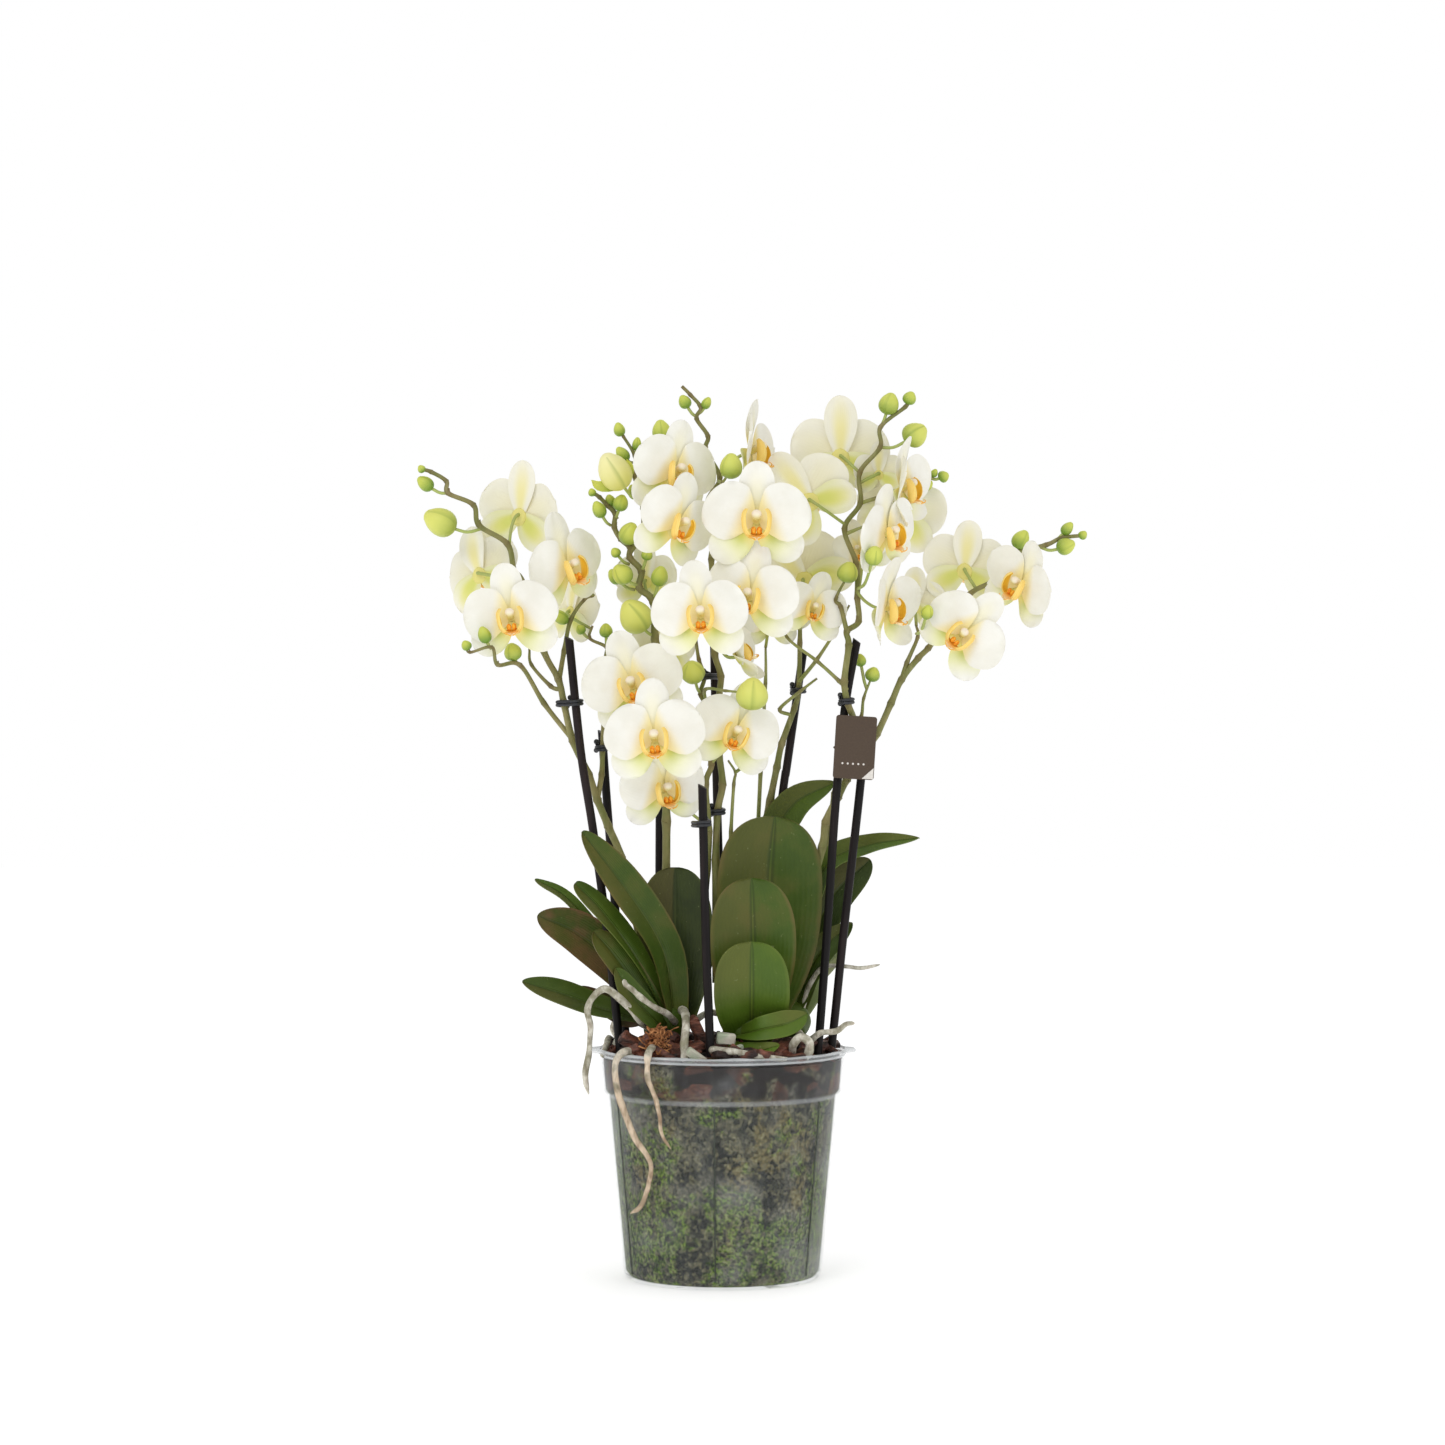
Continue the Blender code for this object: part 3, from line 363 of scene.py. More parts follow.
def chip(cage, centre, size, turn, taper=0.75):
    """One split chip of bark: a tapered block with worn corners."""
    made = bmesh.ops.create_cube(cage, size=1.0)["verts"]
    for vert in made:
        shrink = taper if vert.co.x > 0 else 1.0
        vert.co = Vector((vert.co.x * size[0], vert.co.y * size[1] * shrink, vert.co.z * size[2])) * MM
    edges = list({edge for vert in made for edge in vert.link_edges})
    rounded = bmesh.ops.bevel(cage, geom=edges, offset=0.14 * min(size) * MM, segments=1, profile=0.5,
                              affect="EDGES", material=-1)
    verts = list({vert for face in rounded["faces"] for vert in face.verts})
    put(cage, verts, turn=Euler(turn).to_matrix(), centre=centre)


cage = bmesh.new()
turned(cage, [
    (0, BARK_TOP_Z + BARK_MOUND), (18, BARK_TOP_Z + BARK_MOUND), (35, BARK_TOP_Z + BARK_MOUND - 0.5),
    (50, BARK_TOP_Z + 2), (62, BARK_TOP_Z + 1), (BAND_RADIUS - POT_WALL - 1.2, BARK_TOP_Z - 2),
    (BAND_RADIUS - POT_WALL - 1.9, 120), (BAND_RADIUS - 2.1 - POT_WALL - 0.5, band_foot + 1),
    (BODY_TOP_RADIUS - POT_WALL - 0.6, BODY_TOP_Z), (body_radius(80) - POT_WALL - 0.5, 80),
    (body_radius(55) - POT_WALL - 0.5, 55), (body_radius(30) - POT_WALL - 0.5, 30),
    (body_radius(4) - POT_WALL - 0.5, 4.5), (body_radius(4) - POT_WALL - 2.5, POT_FLOOR + 0.3),
    (0, POT_FLOOR + 0.3)], 96)
for vert in cage.verts:
    if vert.co.z > (BARK_TOP_Z - 3) * MM and math.hypot(vert.co.x, vert.co.y) < UNEVEN_WITHIN * MM:
        vert.co.z += noise.noise(vert.co * 60) * 2.5 * MM
bark_mix, where, shader = finish("bark_and_moss", Specular_IOR_Level=0.25)
across, _, height = where.parts()
lumps = speckle(where, 60, 9)
patches = speckle(where, 32, 8)
streaks = speckle(where, 40, 9, (1.0, 1.0, 0.6))
crumbs = speckle(where, 260, 6)
fine = speckle(where, 620, 5)
low = height.rise(0.075, 0.02)
moss = (patches + low * 0.10 + across.size().rise(0.04, 0.064) * 0.07).rise(0.505, 0.575)
moss = moss * crumbs.rise(0.40, 0.56)
grit = where.node("TexVoronoi", {"feature": "F1"}, {"Vector": where, "Scale": 480.0}, out="Color")
grit = grit.node("SeparateColor", {}, {"Color": grit}, out="Green")
upper = height.rise(0.104, 0.114) * lumps.rise(0.66, 0.50)
chips = where.node("TexVoronoi", {"feature": "F1"},
                   {"Vector": where.node("Mapping", {}, {"Vector": where, "Scale": (1, 1, 1.6)}),
                    "Scale": 85.0}, out="Color")
chip_tone = chips.node("SeparateColor", {}, {"Color": chips}, out="Red")
chipped = mix(chip_tone.rise(0.45, 0.95), paint(26, 18, 16), paint(104, 66, 54))
chipped = mix(lumps.rise(0.56, 0.40) * 0.6, chipped, paint(44, 40, 38))
colour = coated(
    mix(lumps.rise(0.40, 0.60), paint(46, 48, 46), paint(98, 97, 84)),
    (streaks.rise(0.53, 0.60) * crumbs.rise(0.38, 0.55) * 0.85, paint(122, 112, 74)),
    (moss, mix(fine.rise(0.35, 0.65), paint(34, 60, 24), paint(112, 140, 52))),
    (crumbs.rise(0.56, 0.66) * 0.55, paint(142, 138, 104)),
    (crumbs.rise(0.44, 0.32) * 0.85, paint(18, 22, 14)),
    (grit.rise(0.55, 0.9) * 0.28, paint(160, 156, 122)),
    (grit.rise(0.35, 0.05) * 0.45, paint(20, 26, 16)),
    (upper, chipped))
colour = mix(fine.rise(0.6, 0.4) * 0.45, colour, paint(90, 92, 70), "MULTIPLY")
feed(shader, Base_Color=colour, Roughness=0.55 + lumps * 0.35,
     Normal=bump(lumps * 0.6 + crumbs * 0.4, 0.7, 2.0))
piece("potting_bark", cage, (bark_mix,), ["potting_bark"])

cage = bmesh.new()
for _ in range(CHIP_COUNT):
    radius = CHIP_SPREAD * math.sqrt(grain.random())
    angle = grain.uniform(0, math.tau)
    size = (grain.uniform(7, 18), grain.uniform(4, 11), grain.uniform(2.0, 5))
    lift = BARK_TOP_Z + CHIP_HEAP * (1 - radius / 70) + grain.uniform(0.5, 5)
    turn = (grain.uniform(-0.7, 0.7), grain.uniform(-0.7, 0.7), grain.uniform(0, math.tau))
    chip(cage, (radius * math.cos(angle), radius * math.sin(angle), lift), size, turn)
for centre, size, turn in (((-20, -46, 137), (20, 9, 5), (0.2, -0.35, 0.3)),
                           ((-52, -30, 139), (18, 8, 7), (0.5, 0.7, 0.2)),
                           ((18, -52, 136), (24, 10, 4), (0.1, 0.05, -0.1)),
                           ((-28, -20, 141), (16, 10, 6), (0.3, 0.5, 1.1)),
                           ((-14, -26, 146), (20, 10, 6), (0.2, 1.1, 0.4)),
                           ((-44, -40, 140), (15, 9, 6), (0.4, 0.8, 2.6)),
                           ((2, -58, 135), (15, 8, 4), (-0.2, 0.2, 0.4)),
                           ((35, -42, 139), (14, 8, 5), (0.4, -0.5, 0.8))):
    chip(cage, centre, size, turn)
chip_brown, where, shader = finish("bark_chip", Specular_IOR_Level=0.55)
lumps = speckle(where, 70, 3)
fibre = speckle(where, 220, 4, (1, 1, 3))
feed(shader,
     Base_Color=mix(fibre.rise(0.35, 0.65) * 0.6,
                    mix(lumps.rise(0.40, 0.62), paint(44, 24, 18), paint(138, 82, 62)), paint(24, 14, 10)),
     Roughness=0.45 + fibre * 0.3, Normal=bump(fibre, 0.9, 1.5))
piece("bark_chips", cage, (chip_brown,), sharp=25)


def smooth_path(points, steps=5):
    """Catmull-Rom curve through points in millimetres, given back in metres."""
    points = [Vector(point) * MM for point in points]
    ends = [2 * points[0] - points[1], *points, 2 * points[-1] - points[-2]]
    path = []
    for before, first, second, after in zip(ends, ends[1:], ends[2:], ends[3:]):
        for step in range(steps):
            t = step / steps
            path.append(0.5 * (2 * first + (second - before) * t
                               + (2 * before - 5 * first + 4 * second - after) * t ** 2
                               + (3 * first - before - 3 * second + after) * t ** 3))
    path.append(points[-1])
    return path


def tube(cage, path, radius, sides=8, finish_index=0):
    """A capped tube: a disc drawn along a path by extruding its far cap. radius is in millimetres,
    a number or a function of the share of the length."""
    radius_at = radius if callable(radius) else lambda share: radius
    last = len(path) - 1
    turn, ahead, cap, frame_before, made = None, None, None, None, set()
    for index, centre in enumerate(path):
        heading = (path[min(index + 1, last)] - path[max(index - 1, 0)]).normalized()
        if turn is None:
            turn = heading.to_track_quat("Z", "Y")
        else:
            turn = ahead.rotation_difference(heading) @ turn
        ahead = heading
        width = max(radius_at(index / last), 0.05) * MM
        here = Matrix.Translation(centre) @ turn.to_matrix().to_4x4() @ Matrix.Diagonal(
            (width, width, width, 1))
        if cap is None:
            disc = bmesh.ops.create_circle(cage, cap_ends=True, segments=sides, radius=1.0, matrix=here)
            ring = disc["verts"]
            cap = ring[0].link_faces[0]
        else:
            drawn = bmesh.ops.extrude_face_region(cage, geom=[cap])["geom"]
            if index > 1:
                bmesh.ops.delete(cage, geom=[cap], context="FACES_ONLY")
            ring = [each for each in drawn if isinstance(each, bmesh.types.BMVert)]
            cap = next(each for each in drawn if isinstance(each, bmesh.types.BMFace))
            bmesh.ops.transform(cage, matrix=here @ frame_before.inverted(), verts=ring)
        made.update(ring)
        frame_before = here
    bmesh.ops.recalc_face_normals(cage, faces=faced(made, finish_index))
    return made


# The coir tuft: a knot of curled orange-brown fibres beside the left plant.
cage = bmesh.new()
for _ in range(FIBRE_COUNT):
    at = Vector((TUFT_PLACE[0] + grain.uniform(-4.5, 4.5), TUFT_PLACE[1] + grain.uniform(-3, 3),
                 grain.uniform(137, 149)))
    points = [at]
    for _ in range(4):
        at = at + Vector((grain.uniform(-3, 3), grain.uniform(-3, 3), grain.uniform(-2.4, 2.8)))
        points.append(at.copy())
    tube(cage, smooth_path(points, 3), grain.uniform(0.2, 0.6), 5)
coir, where, shader = finish("coir", Roughness=0.9, Specular_IOR_Level=0.2)
feed(shader, Base_Color=mix(speckle(where, 240).rise(0.3, 0.7), paint(112, 64, 36), paint(198, 140, 92)),
     Normal=bump(speckle(where, 500), 0.5, 0.4))
piece("coir_tuft", cage, (coir,))

# Pale lumps: broken chunks of a mineral filler and cut root ends, grey-green where algae took hold.
cage = bmesh.new()
for centre, size, turn in (((-15, -60, 135), (13, 5, 5), (0.3, 0.6, 0.3)),
                           ((2, -46, 144), (11, 6, 6.5), (0.2, 0.1, 0.1)),
                           ((8, -50, 138), (9, 5, 4), (0.1, -0.3, 0.5)),
                           ((-60, -8, 138), (8, 6, 5), (0.4, 0.2, 0.9)),
                           ((10, 40, 138), (11, 7, 6), (0.1, 0.3, 2.0)),
                           ((-40, 42, 137), (10, 6, 5), (0.3, 0.1, 2.8)),
                           ((55, 20, 137), (9, 5, 5), (0.2, 0.5, 1.7))):
    chip(cage, centre, size, turn, taper=0.6)
lump_white, where, shader = finish("pale_lump", Roughness=0.85)
algae = speckle(where, 120, 3).rise(0.45, 0.65)
feed(shader, Base_Color=mix(algae * 0.7, mix(speckle(where, 240), paint(172, 164, 146), paint(226, 222, 208)),
                            paint(150, 170, 138)),
     Normal=bump(speckle(where, 400), 0.6, 0.8))
piece("pale_lumps", cage, (lump_white,))

# ---- Support stakes ----
# Eight plastic-coated black rods pushed down into the bark, bent with the stems they carry. Their
# tops are cut on a slant.
STAKE_RADIUS = 2.5
STAKES = {
    "stake_1": [(-50, -13, 30), (-60, -15, 134), (-67, -16, 200), (-76, -16, 265), (-83, -17, 310),
        (-90, -18, 378)],
    "stake_2": [(-46, 18, 30), (-57, 18, 134), (-67.5, 14, 265), (-71.6, 10, 323)],
    "stake_3": [(-38.5, 31, 20), (-38.3, 31, 134), (-37.8, 30, 232), (-37.4, 28, 300)],
    "stake_4": [(-4, -44, 20), (-7, -50, 134), (-9.5, -50, 200), (-11.7, -46, 292)],
    "stake_5": [(7, 22, 20), (3, 20, 134), (-2.5, 17, 255), (-5, 13, 375)],
    "stake_6": [(3, 36, 20), (16, 34, 134), (36, 32, 284), (38.5, 31, 300), (48.5, 24, 371)],
    "stake_7": [(47, -14, 20), (56, -15, 134), (61, -14, 200), (66.4, -13, 280), (72, -7, 335),
        (79.5, -5, 377)],
    "stake_8": [(50, -5, 20), (64, -5, 134), (71, -5, 200), (81.5, -5, 293), (83, -5, 325)],
}
stake_black, where, shader = finish("stake_plastic", Specular_IOR_Level=0.18)
drag = speckle(where, 90, 4, (1, 1, 0.12))
feed(shader, Base_Color=mix(drag.rise(0.4, 0.75), paint(16, 13, 14), paint(46, 36, 36)),
     Roughness=0.32 + drag * 0.3, Normal=bump(speckle(where, 500, 2, (1, 1, 0.1)), 0.3, 0.25))
for name, points in STAKES.items():
    cage = bmesh.new()
    tube(cage, smooth_path(points, 8), STAKE_RADIUS, 16)
    top = Vector(points[-1]) * MM
    rod = (top - Vector(points[-2]) * MM).normalized()
    bmesh.ops.bisect_plane(cage, geom=cage.verts[:] + cage.edges[:] + cage.faces[:],
                           plane_co=top - rod * 2.2 * MM, plane_no=rod + Vector((0.55, -0.2, 0)),
                           clear_outer=True)
    bmesh.ops.holes_fill(cage, edges=[edge for edge in cage.edges if edge.is_boundary])
    bmesh.ops.recalc_face_normals(cage, faces=cage.faces)
    piece(name + "_rod", cage, (stake_black,), [name])

# ---- Wire clips ----
# Short lengths of black coated wire, wound twice round a stake and the stem beside it. One end is
# left standing out past the stem, and both end in a small knob of the coating.
CLIP_WIRE, CLIP_GAP, CLIP_KNOB = 1.0, 0.3, 1.6
COIL_HEIGHT = 3.6
CLIPS = {
    "clip_1": ((-86, -17.5, 338), (-93.2, -13, 338)),
    "clip_2": ((-70.8, 10.6, 312), (-70.8, 3.5, 312)),
    "clip_3": ((-11, -47.3, 268), (-13.5, -41, 268)),
    "clip_4": ((-3, 16.5, 274), (-2.8, 9.6, 274)),
    "clip_5": ((-4.4, 13.7, 354), (-10.7, 4.1, 354)),
    "clip_6": ((44.9, 26.6, 346), (45.3, 19.3, 346)),
    "clip_7": ((72.8, -6.8, 339.5), (72.8, -14.1, 339.5)),
}
clip_black, where, shader = finish("clip_wire", Specular_IOR_Level=0.5)
feed(shader, Base_Color=mix(speckle(where, 700), paint(16, 17, 20), paint(46, 48, 54)),
     Roughness=0.28 + speckle(where, 300) * 0.25, Normal=bump(speckle(where, 900), 0.2, 0.15))
for name, (stake, stem) in CLIPS.items():
    stake, stem = Vector(stake), Vector(stem)
    heading = math.atan2(stem.y - stake.y, stem.x - stake.x)
    coil = []
    for winding in range(2):
        for centre, first in ((stem, heading - math.pi / 2), (stake, heading + math.pi / 2)):
            for step in range(7):
                angle = first + math.pi * step / 6
                done = (winding * 14 + (step if centre is stem else step + 7)) / 28
                reach = STAKE_RADIUS + CLIP_GAP + CLIP_WIRE
                coil.append(centre + Vector((math.cos(angle) * reach, math.sin(angle) * reach,
                                             (done - 0.5) * COIL_HEIGHT)))
    ahead = Vector((math.cos(heading), math.sin(heading), 0))
    coil += [coil[-1] + ahead * 3 + Vector((0, 0, 0.6)), coil[-1] + ahead * 6.5 + Vector((0, 0, 1.6))]
    cage = bmesh.new()
    tube(cage, smooth_path(coil, 3), CLIP_WIRE, 10)
    for end in (coil[0], coil[-1]):
        knob = bmesh.ops.create_icosphere(cage, subdivisions=2, radius=CLIP_KNOB * MM)["verts"]
        put(cage, knob, centre=end)
    piece(name + "_wire", cage, (clip_black,), [name])

# ---- Care tag ----
# A small printed card, left blank here but for a row of dots and a paler corner, with a loop
# punched into its back that slips over a stake.
TAG_WIDTH, TAG_HEIGHT, TAG_THICKNESS, TAG_LEAN = 24.0, 37.0, 0.8, 3.5
TAG_CENTRE, TAG_LOOP, LOOP_RADIUS = Vector((77.5, -18.5, 312.0)), Vector((69.7, -9.5, 312.0)), 3.9
tag_place = (Matrix.Translation(TAG_CENTRE * MM)
             @ Matrix.Rotation(math.radians(TAG_LEAN), 4, "Y"))
cage = bmesh.new()
card = bmesh.ops.create_cube(cage, size=1.0)["verts"]
put(cage, card, (TAG_WIDTH, TAG_THICKNESS, TAG_HEIGHT))
uprights = [edge for edge in cage.edges
            if abs(edge.verts[0].co.y - edge.verts[1].co.y) > 0.5 * TAG_THICKNESS * MM]
bmesh.ops.bevel(cage, geom=uprights, offset=1.6 * MM, segments=4, profile=0.5, affect="EDGES", material=-1)
bmesh.ops.bevel(cage, geom=[edge for edge in cage.edges if len(edge.link_faces) == 2
                            and edge.calc_face_angle() > 1.2],
                offset=0.12 * MM, segments=1, profile=0.5, affect="EDGES", material=-1)
bmesh.ops.transform(cage, matrix=tag_place, verts=cage.verts)
loop = [(TAG_LOOP + Vector((math.cos(angle), math.sin(angle), 0)) * LOOP_RADIUS) * MM
        for angle in (math.tau * step / 24 for step in range(25))]
tube(cage, loop, 0.8, 8)
tube(cage, smooth_path([TAG_LOOP + Vector((0, -8.8, 0)), TAG_LOOP + Vector((0, -3.7, 0))], 2), 1.5, 10)
tag_card, where, shader = finish("tag_card", Specular_IOR_Level=0.35)
feed(shader, Base_Color=mix(speckle(where, 900, 4), paint(70, 56, 44), paint(84, 69, 56)),
     Roughness=0.42 + speckle(where, 300) * 0.2, Normal=bump(speckle(where, 1500), 0.12, 0.1))
piece("tag_blank", cage, (tag_card,), ["care_tag"])
cage = bmesh.new()
for dot in range(5):
    made = bmesh.ops.create_cone(cage, cap_ends=True, segments=16, radius1=0.62 * MM, radius2=0.5 * MM,
                                 depth=0.16 * MM)["verts"]
    put(cage, made, turn=Euler((math.radians(90), 0, 0)).to_matrix(),
        centre=((dot - 2) * 3.1 - 0.6, -TAG_THICKNESS / 2 - 0.06, -9.6))
corner = bmesh.ops.create_circle(cage, cap_ends=True, segments=3, radius=1.0)["verts"]
for vert, (x, z) in zip(corner, ((11.6, -11.4), (11.6, -18.0), (5.0, -18.0))):
    vert.co = Vector((x, -TAG_THICKNESS / 2 - 0.08, z)) * MM
thick = bmesh.ops.extrude_face_region(cage, geom=[corner[0].link_faces[0]])["geom"]
put(cage, [each for each in thick if isinstance(each, bmesh.types.BMVert)], centre=(0, 0.1, 0))
bmesh.ops.transform(cage, matrix=tag_place, verts=cage.verts)
bmesh.ops.recalc_face_normals(cage, faces=cage.faces)
tag_ink, where, shader = finish("tag_ink", Roughness=0.5)
feed(shader, Base_Color=mix(speckle(where, 900), paint(206, 200, 192), paint(238, 234, 228)))
piece("tag_marks", cage, (tag_ink,))

# ---- Leaves and crowns ----
# Three young plants stand in the bark. Each has a short crown of sheathing leaf bases and thick,
# strap-shaped leaves: olive green, creased along the midrib, often flushed red on rim and back.
LEAF_THICKNESS = 1.5
LEAF_ROWS, LEAF_COLUMNS = 26, 10


def tagged_cage():
    """An empty cage whose vertices carry two vectors for their material to read: blade, which is
    (across, along, back), and tone, which is two shares and a seed."""
    cage = bmesh.new()
    for name in ("blade", "tone"):
        cage.verts.layers.float_vector.new(name)
    return cage


def note(cage, verts, blade=None, tone=None):
    """Write those vectors on some vertices, each given as a vector or as a function of the vertex."""
    for name, value in (("blade", blade), ("tone", tone)):
        layer = cage.verts.layers.float_vector[name]
        for vert in verts if value else ():
            vert[layer] = value(vert) if callable(value) else value


def carried(where, name):
    """The three parts of a vector that vertices carry, as wires."""
    return where.node("Attribute", {"attribute_name": name}, {}, out="Vector").parts()


def blade(cage, spine, face, half_width, lift, thickness, rows, columns, tone, finish_index=0):
    """A thin blade: a grid laid along a spine, its points moved by formula, then given thickness.
    half_width(share) and lift(share, side) are in millimetres; face is where the front looks."""
    frames = []
    shares = [1 - (1 - index / rows) ** 1.7 for index in range(rows + 1)]    # closer towards the tip
    for share in shares:
        spot = share * (len(spine) - 1)
        behind, centre, beyond = (spine[low].lerp(spine[low + 1], place - low)
                                  for place in (spot - 1, spot, spot + 1)
                                  for low in [max(0, min(int(place), len(spine) - 2))])
        ahead = (beyond - behind).normalized()
        across = ahead.cross(face(centre) if callable(face) else Vector(face)).normalized()
        frames.append((centre, across, across.cross(ahead)))
    front = bmesh.ops.create_grid(cage, x_segments=columns, y_segments=rows, size=1.0)["verts"]
    note(cage, front, lambda vert: (vert.co.x, round((vert.co.y + 1) / 2 * rows), 0), tone)
    kept = set(front)
    made = bmesh.ops.solidify(cage, geom=faced(front, finish_index), thickness=thickness * MM)["geom"]
    back = [each for each in made if isinstance(each, bmesh.types.BMVert) and each not in kept]
    blade_layer = cage.verts.layers.float_vector["blade"]
    for vert in front + back:
        side, row, depth = vert[blade_layer].x, round(vert[blade_layer].y), vert not in kept
        centre, across, upper = frames[row]
        share = shares[row]
        thinned = thickness * (1 - 0.65 * max(abs(side), share) ** 8)
        vert[blade_layer] = (side, share, depth)
        vert.co = (centre + across * side * half_width(share) * MM
                   + upper * (lift(share, side) - depth * thinned) * MM)
    return front + back


def strap(widest, base, tip):
    """Half width of a leaf along its length: narrow at the base, full at 0.6, with a rounded tip."""
    def half_width(share):
        if share < 0.6:
            return widest * (base + (1 - base) * math.sin(math.pi / 2 * share / 0.6))
        return widest * max(1 - ((share - 0.6) / 0.4) ** tip, 0.004) ** (1 / tip)
    return half_width


leaf_green, where, shader = finish("leaf", Specular_IOR_Level=0.3)
side, share, back = carried(where, "blade")
redness, light, _ = carried(where, "tone")
blotch = speckle(where, 55, 4)
grain_lines = side.math("SINE", side * 62 + blotch * 3)
rim = side.size().rise(0.86, 1.0)
midrib = side.size().rise(0.07, 0.0)
red = (redness * (0.35 + blotch.rise(0.35, 0.7) * 0.9) + redness.rise(0.05, 0.3) * rim * 0.35
       + back * redness * 0.4).rise(0.15, 1.0)
green = mix(light, paint(34, 46, 10), paint(82, 112, 26))
green = mix(blotch.rise(0.3, 0.7) * 0.45, green, mix(light, paint(66, 76, 26), paint(102, 126, 36)))
colour = coated(
    mix(red, green, mix(blotch, paint(84, 54, 40), paint(116, 92, 54))),
    # Painted light: one half of the folded blade, past its middle, is tinted a lighter brownish olive, for
    # the half of the fold that faces the light.
    (side.rise(0.0, -0.12) * share.rise(0.35, 0.75) * 0.4, paint(104, 92, 46)),
    (midrib * 0.3 * share.rise(1.0, 0.3), paint(138, 150, 66)),
    # Painted shade: a dark band on each side of the pale midrib, for the shade in the crease of the fold.
    (side.size().rise(0.10, 0.03) * side.size().rise(0.0, 0.03) * 0.5, paint(36, 48, 14)),
    (share.rise(0.16, 0.0) * 0.4, paint(150, 156, 76)),
    (back * 0.35, mix(redness, paint(112, 126, 66), paint(128, 84, 66))),
    (rim * 0.2, mix(redness, paint(130, 140, 66), paint(112, 62, 44))),
    (speckle(where, 420, 2).rise(0.68, 0.78) * 0.35, paint(150, 158, 110)))
feed(shader, Base_Color=colour, Roughness=0.34 + blotch * 0.22,
     Normal=bump(grain_lines * 0.07 + blotch * 0.9 + side.size().rise(0.1, 0.0) * -0.7, 0.4, 1.0))

# Each leaf: midrib points, half width, way the face looks, tip roundness, (red, light), fold
LEAVES = {
    "left": [
        ([(-28, 0, 146), (-28, 3, 190), (-28, 5, 241)], 22.5, (0, -1, 0.1), 2.4, (0.0, 0.05), 0.16),
        ([(-28, -8, 150), (-34, -17, 192), (-55, -25, 228), (-82, -27, 263)], 13.5, (0.4, -0.8, 0.5), 1.8,
         (0.3, 0.4), 0.3),
        ([(-32, -8, 152), (-50, -24, 190), (-70, -29, 217), (-86, -27, 233)], 9, (0.4, -0.6, 0.7), 2.2,
         (0.0, 0.5), 0.3),
        ([(-38, -4, 152), (-56, 1, 176), (-84, 1, 201), (-109, -2, 213)], 14, (0.2, -0.9, 0.4), 1.8,
         (0.75, 0.35), 0.26),
        ([(-34, -10, 148), (-46, -22, 167), (-62, -28, 190), (-75, -28, 205)], 10, (0.4, -0.8, 0.4), 2.0,
         (0.4, 0.45), 0.28),
        ([(-40, -2, 150), (-70, -2, 158), (-95, -3, 167), (-118, -4, 174)], 9.5, (0.1, -0.7, 0.7), 1.7,
         (0.1, 0.4), 0.24),
        ([(-42, 2, 150), (-58, 9, 153), (-85, 9, 170)], 8, (0.2, -0.8, 0.5), 1.6, (0.9, 0.2), 0.2),
        ([(-40, 4, 154), (-62, 10, 186), (-90, 10, 221), (-111, 8, 234)], 4.5, (0.3, -0.7, 0.6), 2.0,
         (0.1, 0.7), 0.2),
        ([(-32, -12, 144), (-38, -28, 152), (-52, -34, 168), (-62, -33, 184)], 8, (0.4, -0.8, 0.4), 1.8,
         (0.12, 0.5), 0.2),
        ([(-36, 8, 148), (-42, 34, 176), (-52, 58, 188)], 14, (-0.2, 0.8, 0.6), 2.0, (0.1, 0.35), 0.18),
        ([(-30, 10, 148), (-20, 38, 186), (-14, 60, 214)], 15, (0.2, 0.8, 0.5), 2.0, (0.05, 0.3), 0.18),
    ],
    "middle": [
        ([(18, -14, 146), (27, 0, 190), (28, 4, 235), (31, 1, 271)], 31, (0, -1, 0.1), 2.4, (0.3, 0.45),
         0.2),
        ([(17, -12, 144), (18, -24, 190), (17, -27, 236)], 25, (0, -1, 0.1), 2.4, (0.34, 0.5), 0.22),
        ([(17, -14, 141), (17, -36, 165), (17, -44, 200)], 22, (0, -1, 0.2), 2.4, (0.12, 0.7), 0.2),
        ([(7, -18, 144), (20, -44, 149), (38, -44, 153), (49, -40, 158)], 8, (0, -0.9, 0.4), 1.6,
         (0.0, 0.75), 0.2),
        ([(4, -20, 140), (10, -40, 138), (22, -50, 138), (33, -52, 141)], 5, (0, -0.8, 0.6), 1.8,
         (0.0, 1.0), 0.2),
        ([(20, -6, 146), (14, 30, 176), (16, 58, 196)], 16, (0.1, 0.8, 0.6), 2.2, (0.1, 0.4), 0.16),
    ],
    "right": [
        ([(41, 17, 148), (50, 22, 205), (62, 22, 242), (88, 18, 254), (117, 12, 258)], 9, (-0.4, -0.7, 0.6),
         1.5, (0.0, 0.75), 0.28),
        ([(36, 18, 152), (26, 24, 235), (40, 24, 275), (67, 22, 291)], 11, (-0.2, -0.9, 0.3), 1.6,
         (0.0, 0.65), 0.2),
        ([(42, 20, 150), (61, 25, 215), (88, 22, 245)], 12, (0.1, -1, 0.2), 2.0, (0.0, 0.15), 0.16),
        ([(41, 13, 152), (56, 7, 188), (77, 7, 208)], 8, (0.1, -0.9, 0.4), 1.6, (0.0, 0.45), 0.2),
        ([(44, 22, 150), (56, 46, 176), (74, 60, 190)], 12, (0.2, 0.8, 0.6), 2.0, (0.1, 0.4), 0.18),
    ],
}
CROWNS = {"left": ((-34, -4, 149), (13, 11, 13)), "middle": ((17, -18, 147), (13, 8.5, 11)),
          "right": ((40, 15, 149), (12, 11, 13))}
